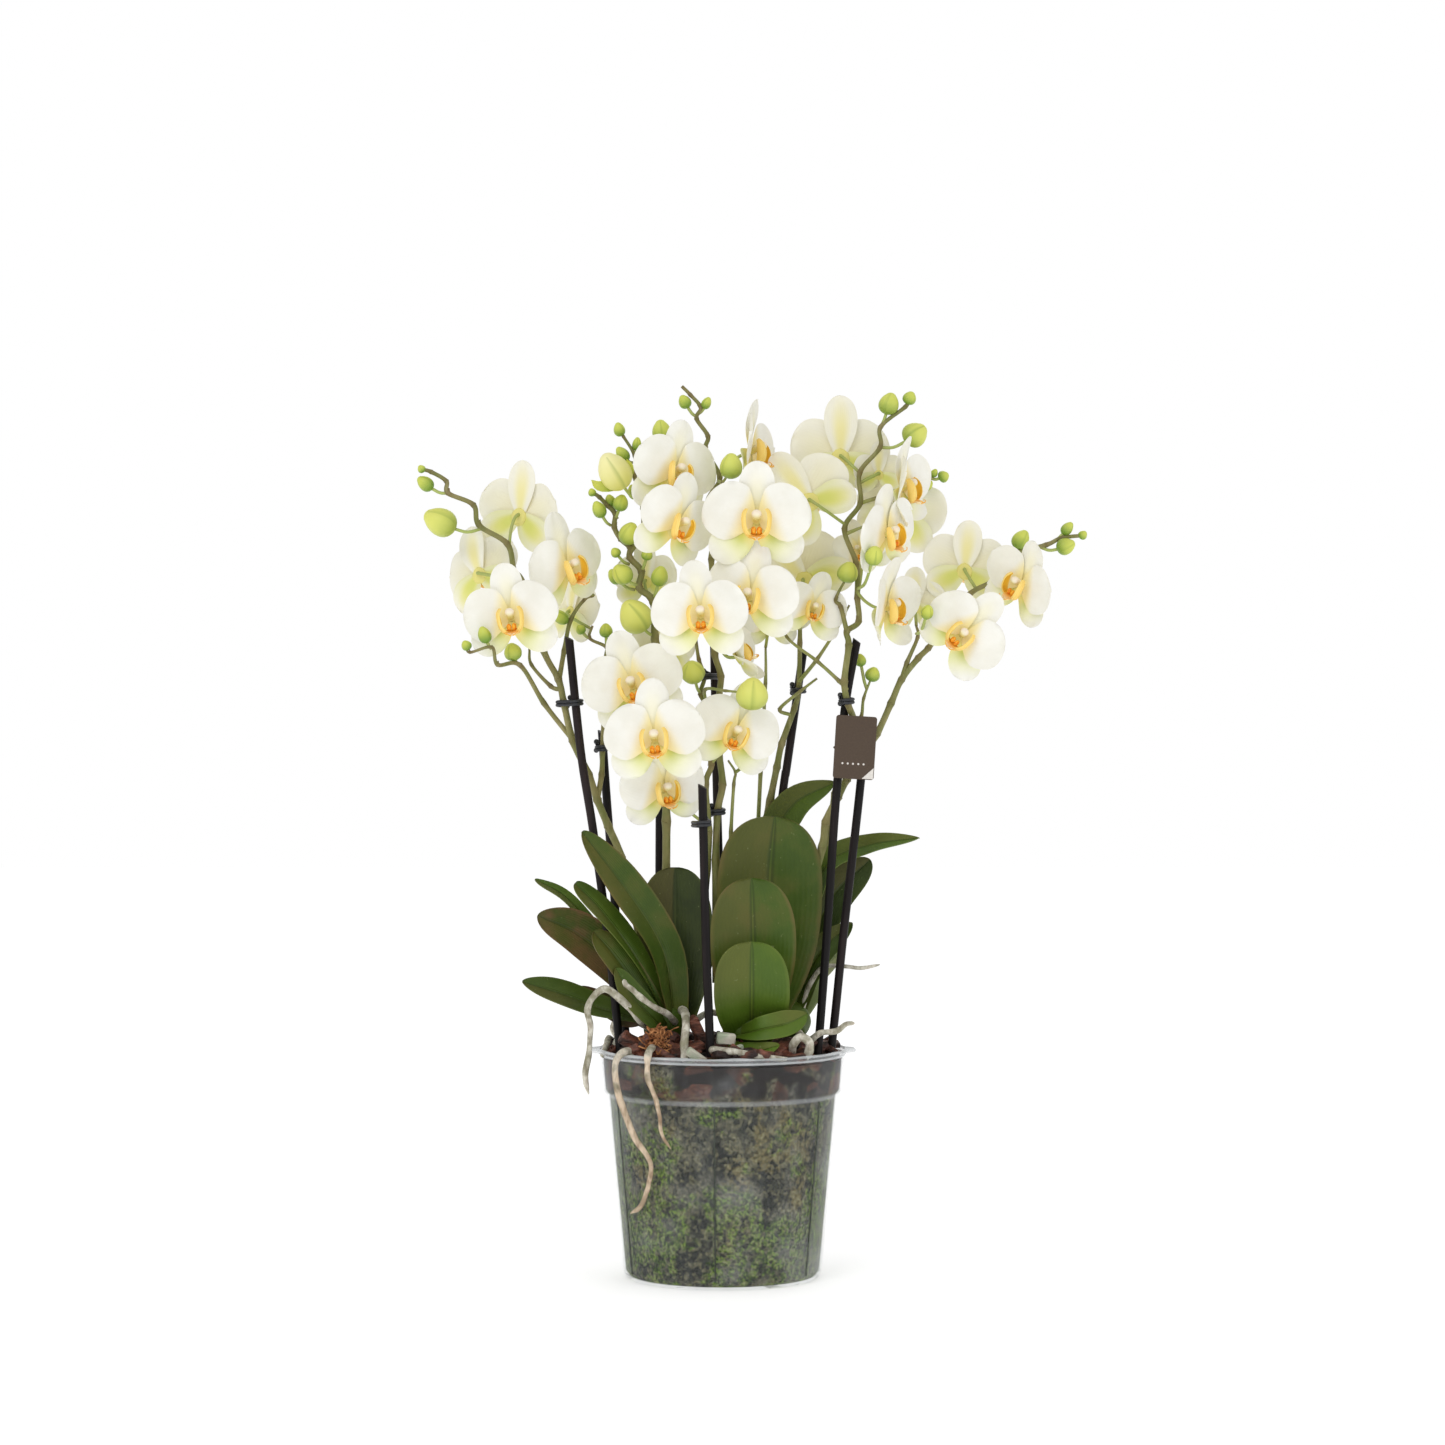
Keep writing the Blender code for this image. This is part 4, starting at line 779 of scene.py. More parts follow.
for side_name, leaves in LEAVES.items():
    for number, (midrib_points, widest, face, tip, (red_share, light_share), fold) in enumerate(leaves, 1):
        cage = tagged_cage()
        seed = grain.uniform(0, 40)

        def lift(share, side):
            wave = noise.noise(Vector((share * 3.2, side * 0.8, seed))) * widest * 0.10
            crease = -0.8 * math.exp(-(side / 0.1) ** 2) * (1 - share ** 6)
            return widest * fold * abs(side) ** 1.15 * (1.3 - share) + wave * (0.3 + abs(side)) + crease

        blade(cage, smooth_path(midrib_points, 8), face, strap(widest, 0.45, tip), lift, LEAF_THICKNESS,
              LEAF_ROWS, LEAF_COLUMNS, (red_share, light_share, seed))
        piece(f"leaf_{side_name}_{number}", cage, (leaf_green,), sharp=60)
    centre, radii = CROWNS[side_name]
    cage = tagged_cage()
    crown = bmesh.ops.create_uvsphere(cage, u_segments=32, v_segments=16, radius=1.0)["verts"]
    note(cage, crown, lambda vert: (0.5, 0.1 + 0.2 * (1 - vert.co.z), 0), (0.12, 0.6, 0))
    for vert in crown:
        sheath = 1 + 0.06 * math.cos(5 * math.atan2(vert.co.y, vert.co.x) + 4 * vert.co.z)
        vert.co.xy *= sheath
    put(cage, crown, radii, centre=centre)
    piece("crown_" + side_name, cage, (leaf_green,), ["plant_" + side_name])

# ---- Roots ----
# Thick aerial roots, silvery white where dry and green where damp, arch out of the crowns; a few
# dead ones hang brown and shrivelled over the lip of the pot.
# Each root: start radius, end radius, brown share, points.
ROOTS = {
    "root_arch": (2.3, 1.6, 0.15, [(-40, -10, 146), (-47, -30, 152), (-54, -36, 161), (-62, -40, 169),
        (-68.5, -42, 172.5), (-75, -43, 167.6), (-78, -43, 160), (-76.5, -42, 150), (-77.5, -42, 134),
        (-79.5, -43, 122), (-77.5, -42, 111.5)]),
    "root_short": (1.9, 1.4, 0.3, [(-27, -14, 150), (-32, -30, 157), (-40, -38, 162), (-48, -40, 168),
        (-52, -41, 172), (-56, -42, 175), (-57, -42, 178)]),
    "root_hanging": (2.3, 1.2, 0.75, [(-50, -40, 136), (-57, -49, 136.5), (-61.5, -55, 131),
        (-61, -55, 118), (-58, -53, 107), (-51, -56, 89), (-44, -59, 79), (-41, -59, 71), (-43, -55, 59),
        (-47, -50, 48), (-53, -44, 43)]),
    "root_dry": (2.2, 0.7, 0.9, [(-40, -52, 140), (-42.5, -62, 137), (-43, -65, 130), (-42.5, -65, 122),
        (-38.5, -65, 112), (-36, -64, 100), (-34.5, -63, 90), (-29.5, -65, 82.5)]),
    "root_stub": (2.6, 2.2, 0.2, [(-24, -14, 158), (-22, -30, 158), (-21, -46, 152), (-22, -54, 142),
        (-22, -58, 131)]),
    "root_on_rim": (2.4, 1.4, 0.35, [(-8, -50, 138), (4, -60, 138), (18, -62, 136), (30, -60, 134),
        (42, -54, 132)]),
    "root_loop": (2.7, 2.4, 0.05, [(40, -40, 134), (41, -48, 141), (45, -52, 145.5), (50, -50, 142),
        (49, -48, 135), (44, -46, 131)]),
    "root_right": (2.3, 1.2, 0.8, [(44, 6, 144), (50, -24, 141), (57, -30, 146), (66, -30, 147),
        (72, -29, 151), (77, -28, 151.5)]),
    "root_side": (1.7, 1.0, 0.7, [(46, 14, 152), (52, 8, 172), (60, 4, 182), (72, 3, 182.5), (82, 3, 181.5),
        (93, 3, 183.5)]),
    "root_rear": (2.2, 1.4, 0.3, [(-20, 20, 146), (-8, 44, 152), (4, 60, 146), (10, 66, 134)]),
    "root_rear_left": (2.1, 1.5, 0.2, [(-44, 10, 146), (-60, 34, 150), (-66, 44, 142), (-60, 46, 132)]),
    "root_edge": (2.0, 1.6, 0.5, [(-70, -20, 131), (-68, -10, 138), (-67, 6, 140), (-62, 22, 134)]),
}
root_skin, where, shader = finish("root", Specular_IOR_Level=0.3)
brown = carried(where, "tone")[0]
mottle = speckle(where, 130, 4)
wrinkle = speckle(where, 420, 3, (1, 1, 0.35))
silver = mix(mottle.rise(0.35, 0.65), paint(150, 146, 124), paint(222, 218, 204))
dead = mix(mottle.rise(0.35, 0.65), paint(168, 144, 118), paint(222, 202, 176))
colour = mix((brown + mottle - 0.5).rise(0.25, 0.75), silver, dead)
feed(shader, Base_Color=mix(wrinkle.rise(0.45, 0.7) * 0.5, colour, paint(150, 128, 104), "MULTIPLY"),
     Roughness=0.7 + mottle * 0.2, Normal=bump(wrinkle * 0.6 + mottle * 0.4, 0.7, 0.8))
for name, (thick_end, thin_end, brown_share, points) in ROOTS.items():
    cage = tagged_cage()
    seed = grain.uniform(0, 50)

    def knobbly(share):
        swell = 1 + 0.22 * noise.noise(Vector((share * 9, seed, 0)))
        close = min(1.0, 0.3 + share * 40, 0.25 + (1 - share) * 16)
        return (thick_end + (thin_end - thick_end) * share) * swell * close

    made = tube(cage, smooth_path(points, 6), knobbly, 10)
    note(cage, made, tone=lambda vert: (
        brown_share * min(1.0, max(0.35, 0.4 + (138 - vert.co.z / MM) / 60)), 0, seed))    # browner low down
    for vert in made:
        vert.co += Vector((noise.noise(vert.co * 180 + Vector((seed, 0, 0))),
                           noise.noise(vert.co * 180 + Vector((0, seed, 0))), 0)) * 0.35 * MM
    piece(name, cage, (root_skin,), sharp=60)

# ---- Flower spikes ----
# Eight olive stems rise from the crowns and zigzag from node to node. Each node has a small brown
# bract and carries a side branch, a bud on a short stalk, or a bloom on a long one.
BUD_STALK_RADIUS = 0.95
STEM_THINNING = 0.42                   # how much thinner a stem is at its end
NODE_SPREAD = 2.6                      # how far the brown of a node reaches
BRACTS_ABOVE = 240.0                   # leaf bases hide the lower nodes
GREEN_UP_TO = 4.5                      # a bud with a larger radius turns yellow as it ripens
HALF_OPEN = 9.5                        # the one bud with this radius is about to open
# Each bloom: centre, turn to the right, nod down, roll anticlockwise (degrees), scale, stalk start.
FLOWERS = {
    1: ((-120, 13, 450), 155, 0, 10, 0.95, (-126, 0, 430)),
    2: ((-144, 14, 415), 150, 5, -20, 0.92, (-121, -2, 410.5)),
    3: ((-122, -45, 386), 0, 5, 8, 1.0, (-112, -2, 392)),
    4: ((-90, -20, 416), 45, 5, 20, 1.0, (-76, 3, 401.5)),
    5: ((-90, 27, 393), 130, 0, 8, 0.8, (-77.5, 8, 382)),
    7: ((-28, -25, 471), 30, 5, -8, 1.0, (-49, 2, 462)),
    8: ((-26.5, -40, 440), 35, 10, -18, 0.95, (-40, 2, 455)),
    10: ((17, -5, 485), 76, 0, -8, 1, (-2, 0, 470)),
    11: ((19.6, -45, 442), 0, 5, 0, 1.1, (-6, 0, 455)),
    12: ((-12.6, -60, 387), 0, 5, 3, 1.0, (-15.7, 3, 375)),
    13: ((15.7, -40, 398), -15, 5, -8, 1, (-5, 0, 404)),
    14: ((9, -15, 366), 80, -30, 0, 0.8, (-4, 0, 384)),
    15: ((-52, -30, 347), 0, 5, 17, 1.05, (-37, 4, 352)),
    16: ((-39, -56, 316), 0, 5, 5, 1.05, (-35, 4, 322)),
    17: ((-34, -24, 286.6), 22, 12, 8, 0.95, (-12, -2, 268)),
    18: ((7, -25, 319), 5, 5, -20, 0.95, (-6.6, -1, 302)),
    19: ((70, 15, 485), 180, 0, 0, 1.05, (81, 0, 474)),
    20: ((51, 0, 458), 180, 0, -40, 1.0, (73, 0, 443)),
    21: ((48, 20, 412), 180, 0, -45, 1.05, (46, 12, 395)),
    22: ((52.7, -10, 392), 15, 0, -15, 0.72, (46, 12, 382)),
    23: ((106, -14, 462.7), 68, 0, 8, 0.95, (100, 2, 463)),
    24: ((95.4, -35, 435), 52, 10, 15, 0.95, (85, 0, 443)),
    25: ((106, 23, 452), 180, 0, 20, 0.95, (96, 2, 461)),
    26: ((96, -20, 392.4), 62, 5, 5, 0.95, (79, -2.5, 404)),
    27: ((114, 15, 396), 180, 0, 0, 0.7, (114.5, 2, 383.7)),
    28: ((144, 15, 417.6), 170, 0, 8, 0.9, (150, 0, 405)),
    29: ((174, -18, 406.4), -46, 5, -30, 0.92, (160, 0, 411)),
    30: ((139.3, -25, 377.4), -15, 10, -48, 0.95, (130, 0, 382)),
    31: ((-45.4, 14, 411), 165, 0, 0, 0.7, (-44, 2, 401)),
    32: ((92.5, 8, 474), 180, 0, 0, 0.55, (81, 0, 468)),
    33: ((82, 14, 428), -15, 5, 20, 0.62, (80, -2, 402)),
    34: ((-36, 16, 370), 180, 0, 0, 0.7, (-38, 3, 362)),
    36: ((29, 8, 386), 10, 5, 0, 0.65, (25.5, 4, 371)),
}
# Each spike: its stems, as (start radius, end radius, points); its buds, as (centre, radius across,
# radius along, start of the stalk); and its blooms.
SPIKES = {
    "spike_1": ([
        (2.4, 2.0, [(-38, 12, 168), (-50, 12, 205), (-60, 12, 246), (-67.6, 8, 265), (-74, 3, 281),
         (-79, -2, 296), (-88, -8, 316), (-93, -13, 338), (-96.5, -8, 352), (-106, 0, 370), (-118, 0, 409),
         (-123, 0, 416), (-127, 0, 432), (-143.7, 0, 443), (-147, 0, 455), (-162, 0, 462), (-163, 0, 469),
         (-172, 0, 474.5), (-177.5, 0, 476)]),
        (1.5, 1.2, [(-95, -10, 346), (-101, -8, 348), (-112.5, -4, 360.6), (-114, 0, 370)]),
        (1.6, 1.3, [(-96, -8, 352), (-93.4, 0, 369), (-89.7, 2, 387), (-81.8, 3, 399), (-76, 3, 401.5)]),
        (1.6, 1.1, [(-88.5, -8, 317), (-105, -8, 338), (-118, -26, 360), (-130, -44, 360), (-133, -50, 370),
         (-145.6, -50, 367), (-147.6, -50, 371)]),
        (1.8, 1.3, [(-74, 3, 281), (-71.5, 4, 296), (-70.8, 3.5, 312), (-69, 4, 363), (-68.6, 8, 371),
         (-78.5, 8, 376.4), (-77, 8, 384)]),
    ], [
        ((-177.6, 0, 476.2), 2.4, 2.4, None), ((-175.3, 0, 467.6), 4.2, 5.4, (-161.5, 0, 462)),
        ((-166.5, 0, 445), 8.4, 10, (-142, 0, 441)), ((-147.6, -50, 371), 3, 3, None),
        ((-137.2, -50, 377), 3.8, 5, (-133, -50, 369)), ((-122, -30, 367.7), 5.2, 5.2, (-119, -26, 360)),
        ((-96, 0, 389), 3.8, 6, (-90, 2, 387)), ((-84, 8, 381.7), 3, 3, (-78.5, 8, 376.4)),
        ((-69, 8, 381), 4, 4.2, (-68.6, 8, 371)),
    ], (1, 2, 3, 4, 5)),
    "spike_2": ([
        (2.6, 2.0, [(-34, 16, 172), (-33.5, 16, 232), (-33.3, 12, 268), (-34, 6, 300), (-36, 4, 340),
         (-39.8, 3, 376), (-41, 2, 398), (-49, 2, 406), (-48, 2, 416), (-54.7, 2, 424), (-54.7, 2, 430),
         (-60, 2, 435), (-63.9, 2, 442), (-63.5, 2, 450), (-68, 2, 454.7), (-72.7, 2, 459.7),
         (-77, 2, 462.5)]),
        (1.7, 1.2, [(-54.7, 2, 427), (-47, 2, 440), (-48, 2, 459), (-51.9, 2, 472), (-51.9, 2, 484),
         (-58.5, 2, 495.5), (-61, 2, 499.6)]),
        (1.1, 1.0, [(-48.5, 2, 452), (-40, 2, 455.5)]),
        (1.0, 1.0, [(-51.9, 2, 476), (-44, 3, 485), (-43, 2, 492), (-38, 2, 497)]),
    ], [
        ((-61, 2, 499.6), 3.4, 4.2, None), ((-50.6, 2, 491), 2.7, 4, (-52, 2, 484)),
        ((-59, 2, 485), 3.7, 5, (-53, 2, 480)), ((-47, 2, 485), 3, 3, (-51.9, 2, 480)),
        ((-36, 2, 498.8), 5.6, 6.5, None), ((-77, 2, 462.5), 2.4, 2.4, None),
        ((-72.7, -4, 452), 4, 5.4, (-66, 2, 443)), ((-60, -2, 456), 4.5, 5, (-63.7, 2, 447)),
        ((-55, -2, 438), 6, 7, (-58, 2, 433)), ((-63, -2, 426.8), 3, 3, (-55, 2, 420)),
        ((-44.4, -4, 425.5), 3.4, 3.4, (-48, 2, 416)), ((-59, -6, 414), 6, 6.5, (-49, 2, 408)),
        ((-36.9, -6, 412.7), 5, 6.2, (-41, 2, 400)), ((-51.4, -4, 389.2), 9.6, 10.5, (-40, 3, 378)),
        ((-63.5, -10, 474), 9.5, 12, (-47.8, 2, 457)), ((-63.4, 6, 413), 4.2, 5, (-52, 2, 405)),
        ((-52.5, 6, 463), 3.6, 4.6, (-48, 2, 455)), ((-66.4, 4, 457.8), 3.2, 3.6, (-62, 2, 447)),
    ], (7, 8, 15, 16, 31, 34)),
    "spike_3": ([
        (2.0, 1.8, [(-14, 12, 172), (-9, 13, 240), (-8, 8, 262), (-9.9, 2, 290), (-6.6, -1, 302),
         (-11, 0, 315), (-13.2, 0, 321), (-8.2, 1, 334), (-13, 3, 343.4), (-10.7, 4, 353.4), (-14, 3, 364),
         (-15.7, 3, 375)]),
        (1.6, 1.4, [(-8, 8, 262), (-12, -2, 268)]),
        (1.1, 1.0, [(-9, 1, 336), (-10, -14, 346), (2, -32, 345), (12, -38, 344)]),
    ], [
        ((-17.4, -10, 356.3), 7, 7, (-13, 3, 344)), ((17.2, -39, 343), 9.3, 9.3, None),
    ], (12, 17, 18)),
    "spike_4": ([
        (2.2, 1.8, [(-4, 14, 172), (-4, 13, 245), (-2.8, 9.6, 274), (0, 8, 290), (-2, 7, 310), (-2, 5, 340),
         (-1, 3, 354), (-4.6, 2, 367), (-5, 0, 384), (-5, 0, 404), (-6.6, 0, 423), (-4.5, 0, 443.5),
         (-8.2, 0, 458), (-1.6, 0, 471), (-9.9, 0, 487), (-8.6, 0, 495.5), (-15.3, 0, 506),
         (-12.8, 0, 512.5), (-19, 0, 520), (-24, 0, 525)]),
        (1.1, 1.0, [(-2.5, 0, 469), (0, -22, 467), (4, -31, 472)]),
    ], [
        ((-22.3, 0, 515.8), 3.7, 4.2, (-15.3, 0, 507)), ((-9.5, 0, 515), 2.8, 3.8, (-14, 0, 509)),
        ((5, -32, 475.5), 6.6, 7.4, None),
    ], (10, 11, 13, 14)),
    "spike_5": ([
        (1.3, 1.1, [(5, 12, 172), (4, 12, 235), (5, 10, 262), (6.7, 9, 290), (7.6, 9, 297), (3.5, 0, 304)]),
        (1.1, 1.0, [(7.6, 9, 297), (12.6, 4, 301), (16, 3, 306)]),
    ], [
    ], ()),
    "spike_6": ([
        (2.3, 2.1, [(14, 37, 172), (20, 37, 235), (28.6, 33, 280), (32.5, 26, 300), (35.4, 24, 314),
         (42.8, 21, 335), (45.3, 19, 346), (46, 16, 374), (46, 12, 395)]),
        (1.3, 1.1, [(45.6, 18, 351), (56, 10, 364), (67, 6, 381), (75, 4, 396)]),
        (1.4, 1.2, [(20, 37, 235), (23, 34, 300), (25.5, 12, 350), (25.5, 4, 371)]),
        (1.2, 1.2, [(41, 21.5, 331), (34, 14, 334.5), (46, 10, 345), (56, 8, 352.7)]),
    ], [
    ], (21, 22, 36)),
    "spike_7": ([
        (2.3, 1.9, [(52, 32, 172), (60, 34, 240), (64, 30, 262), (67, 16, 284), (71, 12, 300), (76, 2, 316),
         (77, -8, 328), (73.4, -14, 338), (71.4, -14, 350.6), (74, -13, 372), (73, -12, 380), (80, -8, 386),
         (79.5, -2, 400), (79, 0, 420), (72, 0, 441), (81.3, 0, 456), (81, 0, 474), (93, 0, 489),
         (93.3, 0, 501), (108, 0, 513), (110.4, 0, 518)]),
        (1.5, 1.2, [(73, -12, 380), (69.4, -10, 394.5), (66.5, -9, 399), (73, -8, 412)]),
        (1.3, 1.1, [(72.8, -14, 346), (68.5, -8, 351), (56, -4, 362.5), (38, 0, 377), (36.2, 2, 390)]),
        (1.2, 1.1, [(76, 2, 316), (82, 4, 330), (83.5, 4, 341), (88.8, 4, 355)]),
        (1.2, 1.1, [(81.3, 0, 456), (90.5, 2, 459), (100, 2, 463)]),
        (1.2, 1.1, [(73, 0, 438), (85, 0, 443)]),
        (1.3, 1.1, [(81.3, 0, 456), (95, 18, 461), (108, 24, 463), (118, 20, 467), (126, 18, 474)]),
    ], [
        ((110.4, 0, 518), 4, 4, None), ((98.3, 0, 514.6), 6, 6.5, (93, 0, 501)),
        ((113.7, 2, 496.7), 7.4, 7.4, (93, 0, 489)), ((73.7, -8, 414.8), 6.2, 6.2, None),
        ((87.3, -50, 422.9), 5.2, 6.5, (79.5, -12, 405)), ((112, 20, 461), 5, 5.6, (106, 24, 462)),
        ((121.5, 18, 468), 3.6, 3.8, (116, 20, 467)), ((131.5, 18, 473), 3.6, 3.2, (124, 18, 472)),
        ((126, 18, 475), 2.2, 2.6, None), ((81.5, 4, 363.4), 3.4, 3.8, (85.4, 4, 346)),
        ((88.8, 4, 355), 4.4, 4.4, None),
    ], (19, 20, 23, 24, 25, 26, 32, 33)),
    "spike_8": ([
        (2.4, 2.0, [(36, 12, 176), (49, 12, 215), (59, 4, 253), (61, 0, 268), (68, -3, 282.6),
         (73.4, 0, 293), (82, 3, 306), (91.3, 3, 320), (99.6, 3, 338), (105.8, 3, 352), (115.7, 2, 364.7),
         (121.5, 2, 370.5), (130, 0, 382), (145.5, 0, 402), (159.6, 0, 410.6), (167.8, 0, 424.7),
         (191, 0, 431.4), (200, 0, 435.5), (213, 0, 437)]),
        (1.5, 1.3, [(105.8, 3, 352), (109, 3, 362), (115.3, 2, 377), (114.5, 2, 383.7)]),
    ], [
        ((212.6, 0, 437.2), 2.7, 2.7, None), ((176, 0, 434.5), 5, 6, (166, 0, 424)),
        ((203.4, 0, 441), 3.3, 4.4, (192, 0, 432)), ((202.2, -3, 430.5), 5, 5.6, (187.7, 0, 430)),
        ((119.3, -28, 391), 3.6, 5.4, (114.5, 2, 379)),
    ], (27, 28, 29, 30)),
}


def flower_turn(turn, nod, roll):
    """Orientation of a bloom: roll about its face, then nod, then turn."""
    return (Euler((0, 0, math.radians(turn))).to_matrix() @ Euler((math.radians(nod), 0, 0)).to_matrix()
            @ Euler((0, math.radians(-roll), 0)).to_matrix())


def stalk_points(centre, turn, nod, roll, scale, first):
    """The bent stalk from the stem to just inside the back of a bloom, in millimetres."""
    back = flower_turn(turn, nod, roll) @ Vector((0, 1, 0))
    first = Vector(first)
    end = Vector(centre) + back * 0.4 * scale
    elbow = end + back * min(0.45 * (end - first).length, 12)
    return [first.lerp(elbow, t).lerp(elbow.lerp(end, t), t) for t in (0.0, 0.3, 0.6, 0.85, 1.0)]


def mark(cage, verts, seed, young, nodes):
    """Give a stem its tone: brown near its nodes, paler green where it is young."""
    def tone(vert):
        near = min((vert.co / MM - node).length for node in nodes)
        return math.exp(-(near / NODE_SPREAD) ** 2), young, seed
    note(cage, verts, tone=tone)


def slimming(share):
    """How a stem thins out towards its end, over the share of its length."""
    return 1 - STEM_THINNING * share ** 1.6


def bract(cage, place, heading, radius, seed):
    """The dry scale that wraps a node: a short open-backed cone leaning away from the stem."""
    lean = Vector((math.cos(seed * 7), math.sin(seed * 7), 0)) * 0.45
    aim = (heading + lean).normalized()
    made = bmesh.ops.create_cone(cage, cap_ends=True, segments=8, radius1=radius * 1.25 * MM,
                                 radius2=0.25 * MM, depth=radius * 2.6 * MM)["verts"]
    put(cage, made, centre=(0, 0, radius * 0.9))
    put(cage, made, turn=aim.to_track_quat("Z", "Y").to_matrix(), centre=place)
    note(cage, made, tone=(0.75, 0, seed))


stem_green, where, shader = finish("stem", Specular_IOR_Level=0.35)
node_brown, young, _ = carried(where, "tone")
streak = speckle(where, 240, 4, (1, 1, 0.25))
blush = speckle(where, 60, 3)
colour = coated(
    mix(blush.rise(0.35, 0.7), paint(118, 122, 66), paint(142, 134, 86)),
    (young, mix(blush, paint(154, 172, 84), paint(190, 200, 124))),
    (node_brown * (0.25 + blush * 0.8), paint(104, 78, 54)),
    (streak.rise(0.5, 0.75) * 0.5, paint(168, 162, 118)))
feed(shader, Base_Color=colour, Roughness=0.45 + streak * 0.25, Normal=bump(streak, 0.35, 0.4))

bud_green, where, shader = finish("bud", Specular_IOR_Level=0.4)
seam, ripe, _ = carried(where, "blade")
yellowed = carried(where, "tone")[0]
cloud = speckle(where, 90, 3)
colour = coated(
    mix((ripe + cloud * 0.4 - 0.2).rise(0.05, 0.9), paint(116, 150, 52), paint(204, 212, 92)),
    (yellowed * (0.4 + ripe * 0.6), paint(226, 226, 118)),
    (yellowed.rise(1.2, 1.5), mix(ripe, paint(222, 218, 110), paint(246, 240, 176))),
    (seam.rise(0.35, 0.0) * 0.45, paint(116, 146, 54)))
feed(shader, Base_Color=colour, Roughness=0.38 + cloud * 0.15, Normal=bump(cloud + seam * 0.3, 0.2, 0.5))


def bud(cage, centre, across, along, aim, seed):
    """A closed bud: an egg with three seams where its sepals meet, its tip drawn to a soft point."""
    def seam(vert):
        return abs(math.sin(1.5 * (math.atan2(vert.co.y, vert.co.x) + seed)))

    made = bmesh.ops.create_uvsphere(cage, u_segments=24, v_segments=14, radius=1.0)["verts"]
    note(cage, made, lambda vert: (seam(vert) if abs(vert.co.z) < 0.97 else 1, (vert.co.z + 1) / 2, 0),
         (min(1.0, max(0.0, across / GREEN_UP_TO - 1)), 0, seed))
    for vert in made:
        vert.co.xy *= (1 - 0.16 * vert.co.z) * (0.93 + 0.07 * min(1.0, seam(vert) * 3))
        if vert.co.z > 0.9:
            vert.co.z *= 1.05
    put(cage, made, (across, across, along), aim.to_track_quat("Z", "Y").to_matrix(), centre)
    faced(made, 1)
    return made


def opening(cage, centre, across, along, aim, seed):
    """A bud on the point of opening: a cream balloon with two sepals already standing off it."""
    note(cage, bud(cage, centre, across, along, aim, seed), tone=(2.0, 0, seed))
    blade_layer = cage.verts.layers.float_vector["blade"]
    for hand, spread in ((-1, 1.5), (1, 1.05)):
        side = aim.cross(Vector((0, -1, 0))).normalized() * hand * across * spread
        spine = smooth_path([centre - aim * along * 0.9, centre - aim * along * 0.3 + side * 0.8,
                             centre + aim * along * 0.25 + side], 5)
        made = blade(cage, spine, (0, -1, 0.1), lambda share: 3.2 * math.sin(math.pi * (0.15 + 0.84 * share)),
                     lambda share, across: 0.6 * across * across, 0.5, 10, 4, (0.6, 0, seed), 1)
        note(cage, made, lambda vert: (1, vert[blade_layer].y, 0))


for spike_name, (stems, buds, flowers) in SPIKES.items():
    cage = tagged_cage()
    for first, last, points in stems:
        nodes = [Vector(point) for point in points]
        spans = len(points) - 1

        def stem_radius(share):
            return (first + (last - first) * share) * slimming(share)

        def jointed(share):
            beat = share * spans
            swell = 0.24 * math.exp(-((beat - round(beat)) / 0.11) ** 2) if 0.5 < beat < spans - 0.5 else 0
            return stem_radius(share) * (0.96 + swell)

        made = tube(cage, smooth_path(points, 8), jointed, 12)
        mark(cage, made, grain.uniform(0, 6), 0.35 if first < 1.5 else 0.0, nodes[1:])
        for index in range(1, spans):
            if nodes[index].z > BRACTS_ABOVE:
                heading = (nodes[index + 1] - nodes[index]).normalized()
                bract(cage, nodes[index], heading, stem_radius(index / spans), grain.uniform(0, 6))
    for centre, across, along, stalk in buds:
        centre = Vector(centre)
        seed = grain.uniform(0, 6)
        aim = Vector((centre.x * 0.004, -0.25, 1.0))
        if stalk:
            aim = (centre - Vector(stalk)).normalized() + Vector((0, -0.1, 0.35))
        aim.normalize()
        (opening if across == HALF_OPEN else bud)(cage, centre, across, along, aim, seed)
        if stalk:
            foot, tip = Vector(stalk), centre - aim * along * 0.85
            middle = foot.lerp(tip, 0.5) + Vector((0, 0, -0.12 * (tip - foot).length))
            made = tube(cage, smooth_path([foot, middle, tip], 4), BUD_STALK_RADIUS, 8)
            mark(cage, made, seed, 1.0, [foot])
    for number in flowers:
        made = tube(cage, smooth_path(stalk_points(*FLOWERS[number]), 3),
                    lambda share: BUD_STALK_RADIUS + 0.5 * share ** 4, 8)
        mark(cage, made, 1.0, 0.8, [Vector(FLOWERS[number][-1])])
    piece(spike_name + "_stems", cage, (stem_green, bud_green), [spike_name], sharp=55)

# ---- Blooms ----
# Each bloom has two broad white petals over three sepals, the lower pair washed yellow-green, and a
# yellow and orange lip: two raised arms round a short pale column, with a spotted boss below it.
PETAL_THICKNESS = 0.45
PETAL_ROWS, PETAL_COLUMNS = 14, 10
# Two blooms that stand behind others have no CAD node of their own.
HALF_HIDDEN = (33, 36)
# Blooms seen from the side or just opening hold their petals forward, in millimetres at the tip.
CUPPED = {2: 9, 5: 7, 10: 8, 14: 14, 22: 6, 23: 12, 24: 3.5, 26: 11, 29: 6}
# Outlines: width at the base, where it is fully open, where it starts to close, roundness of the tip.
PETAL_FORM, SEPAL_FORM = (0.2, 0.42, 0.4, 2.5), (0.4, 0.55, 0.5, 2.2)
# Sepals and petals: (direction, from, to, half width, depth, green wash, yellow back)
BLADES = {
    "dorsal_sepal": (90, 1.5, 34.0, 9.6, 2.4, 0.22, 0.8),
    "left_sepal": (-143, 2.0, 29.0, 10.4, 2.7, 1.0, 1.0),
    "right_sepal": (-37, 2.0, 29.0, 10.4, 3.0, 1.0, 1.0),
    "left_petal": (158, 1.5, 29.0, 15.8, -0.5, 0.16, 0.25),
    "right_petal": (22, 1.5, 29.0, 15.8, -0.8, 0.16, 0.25),
}


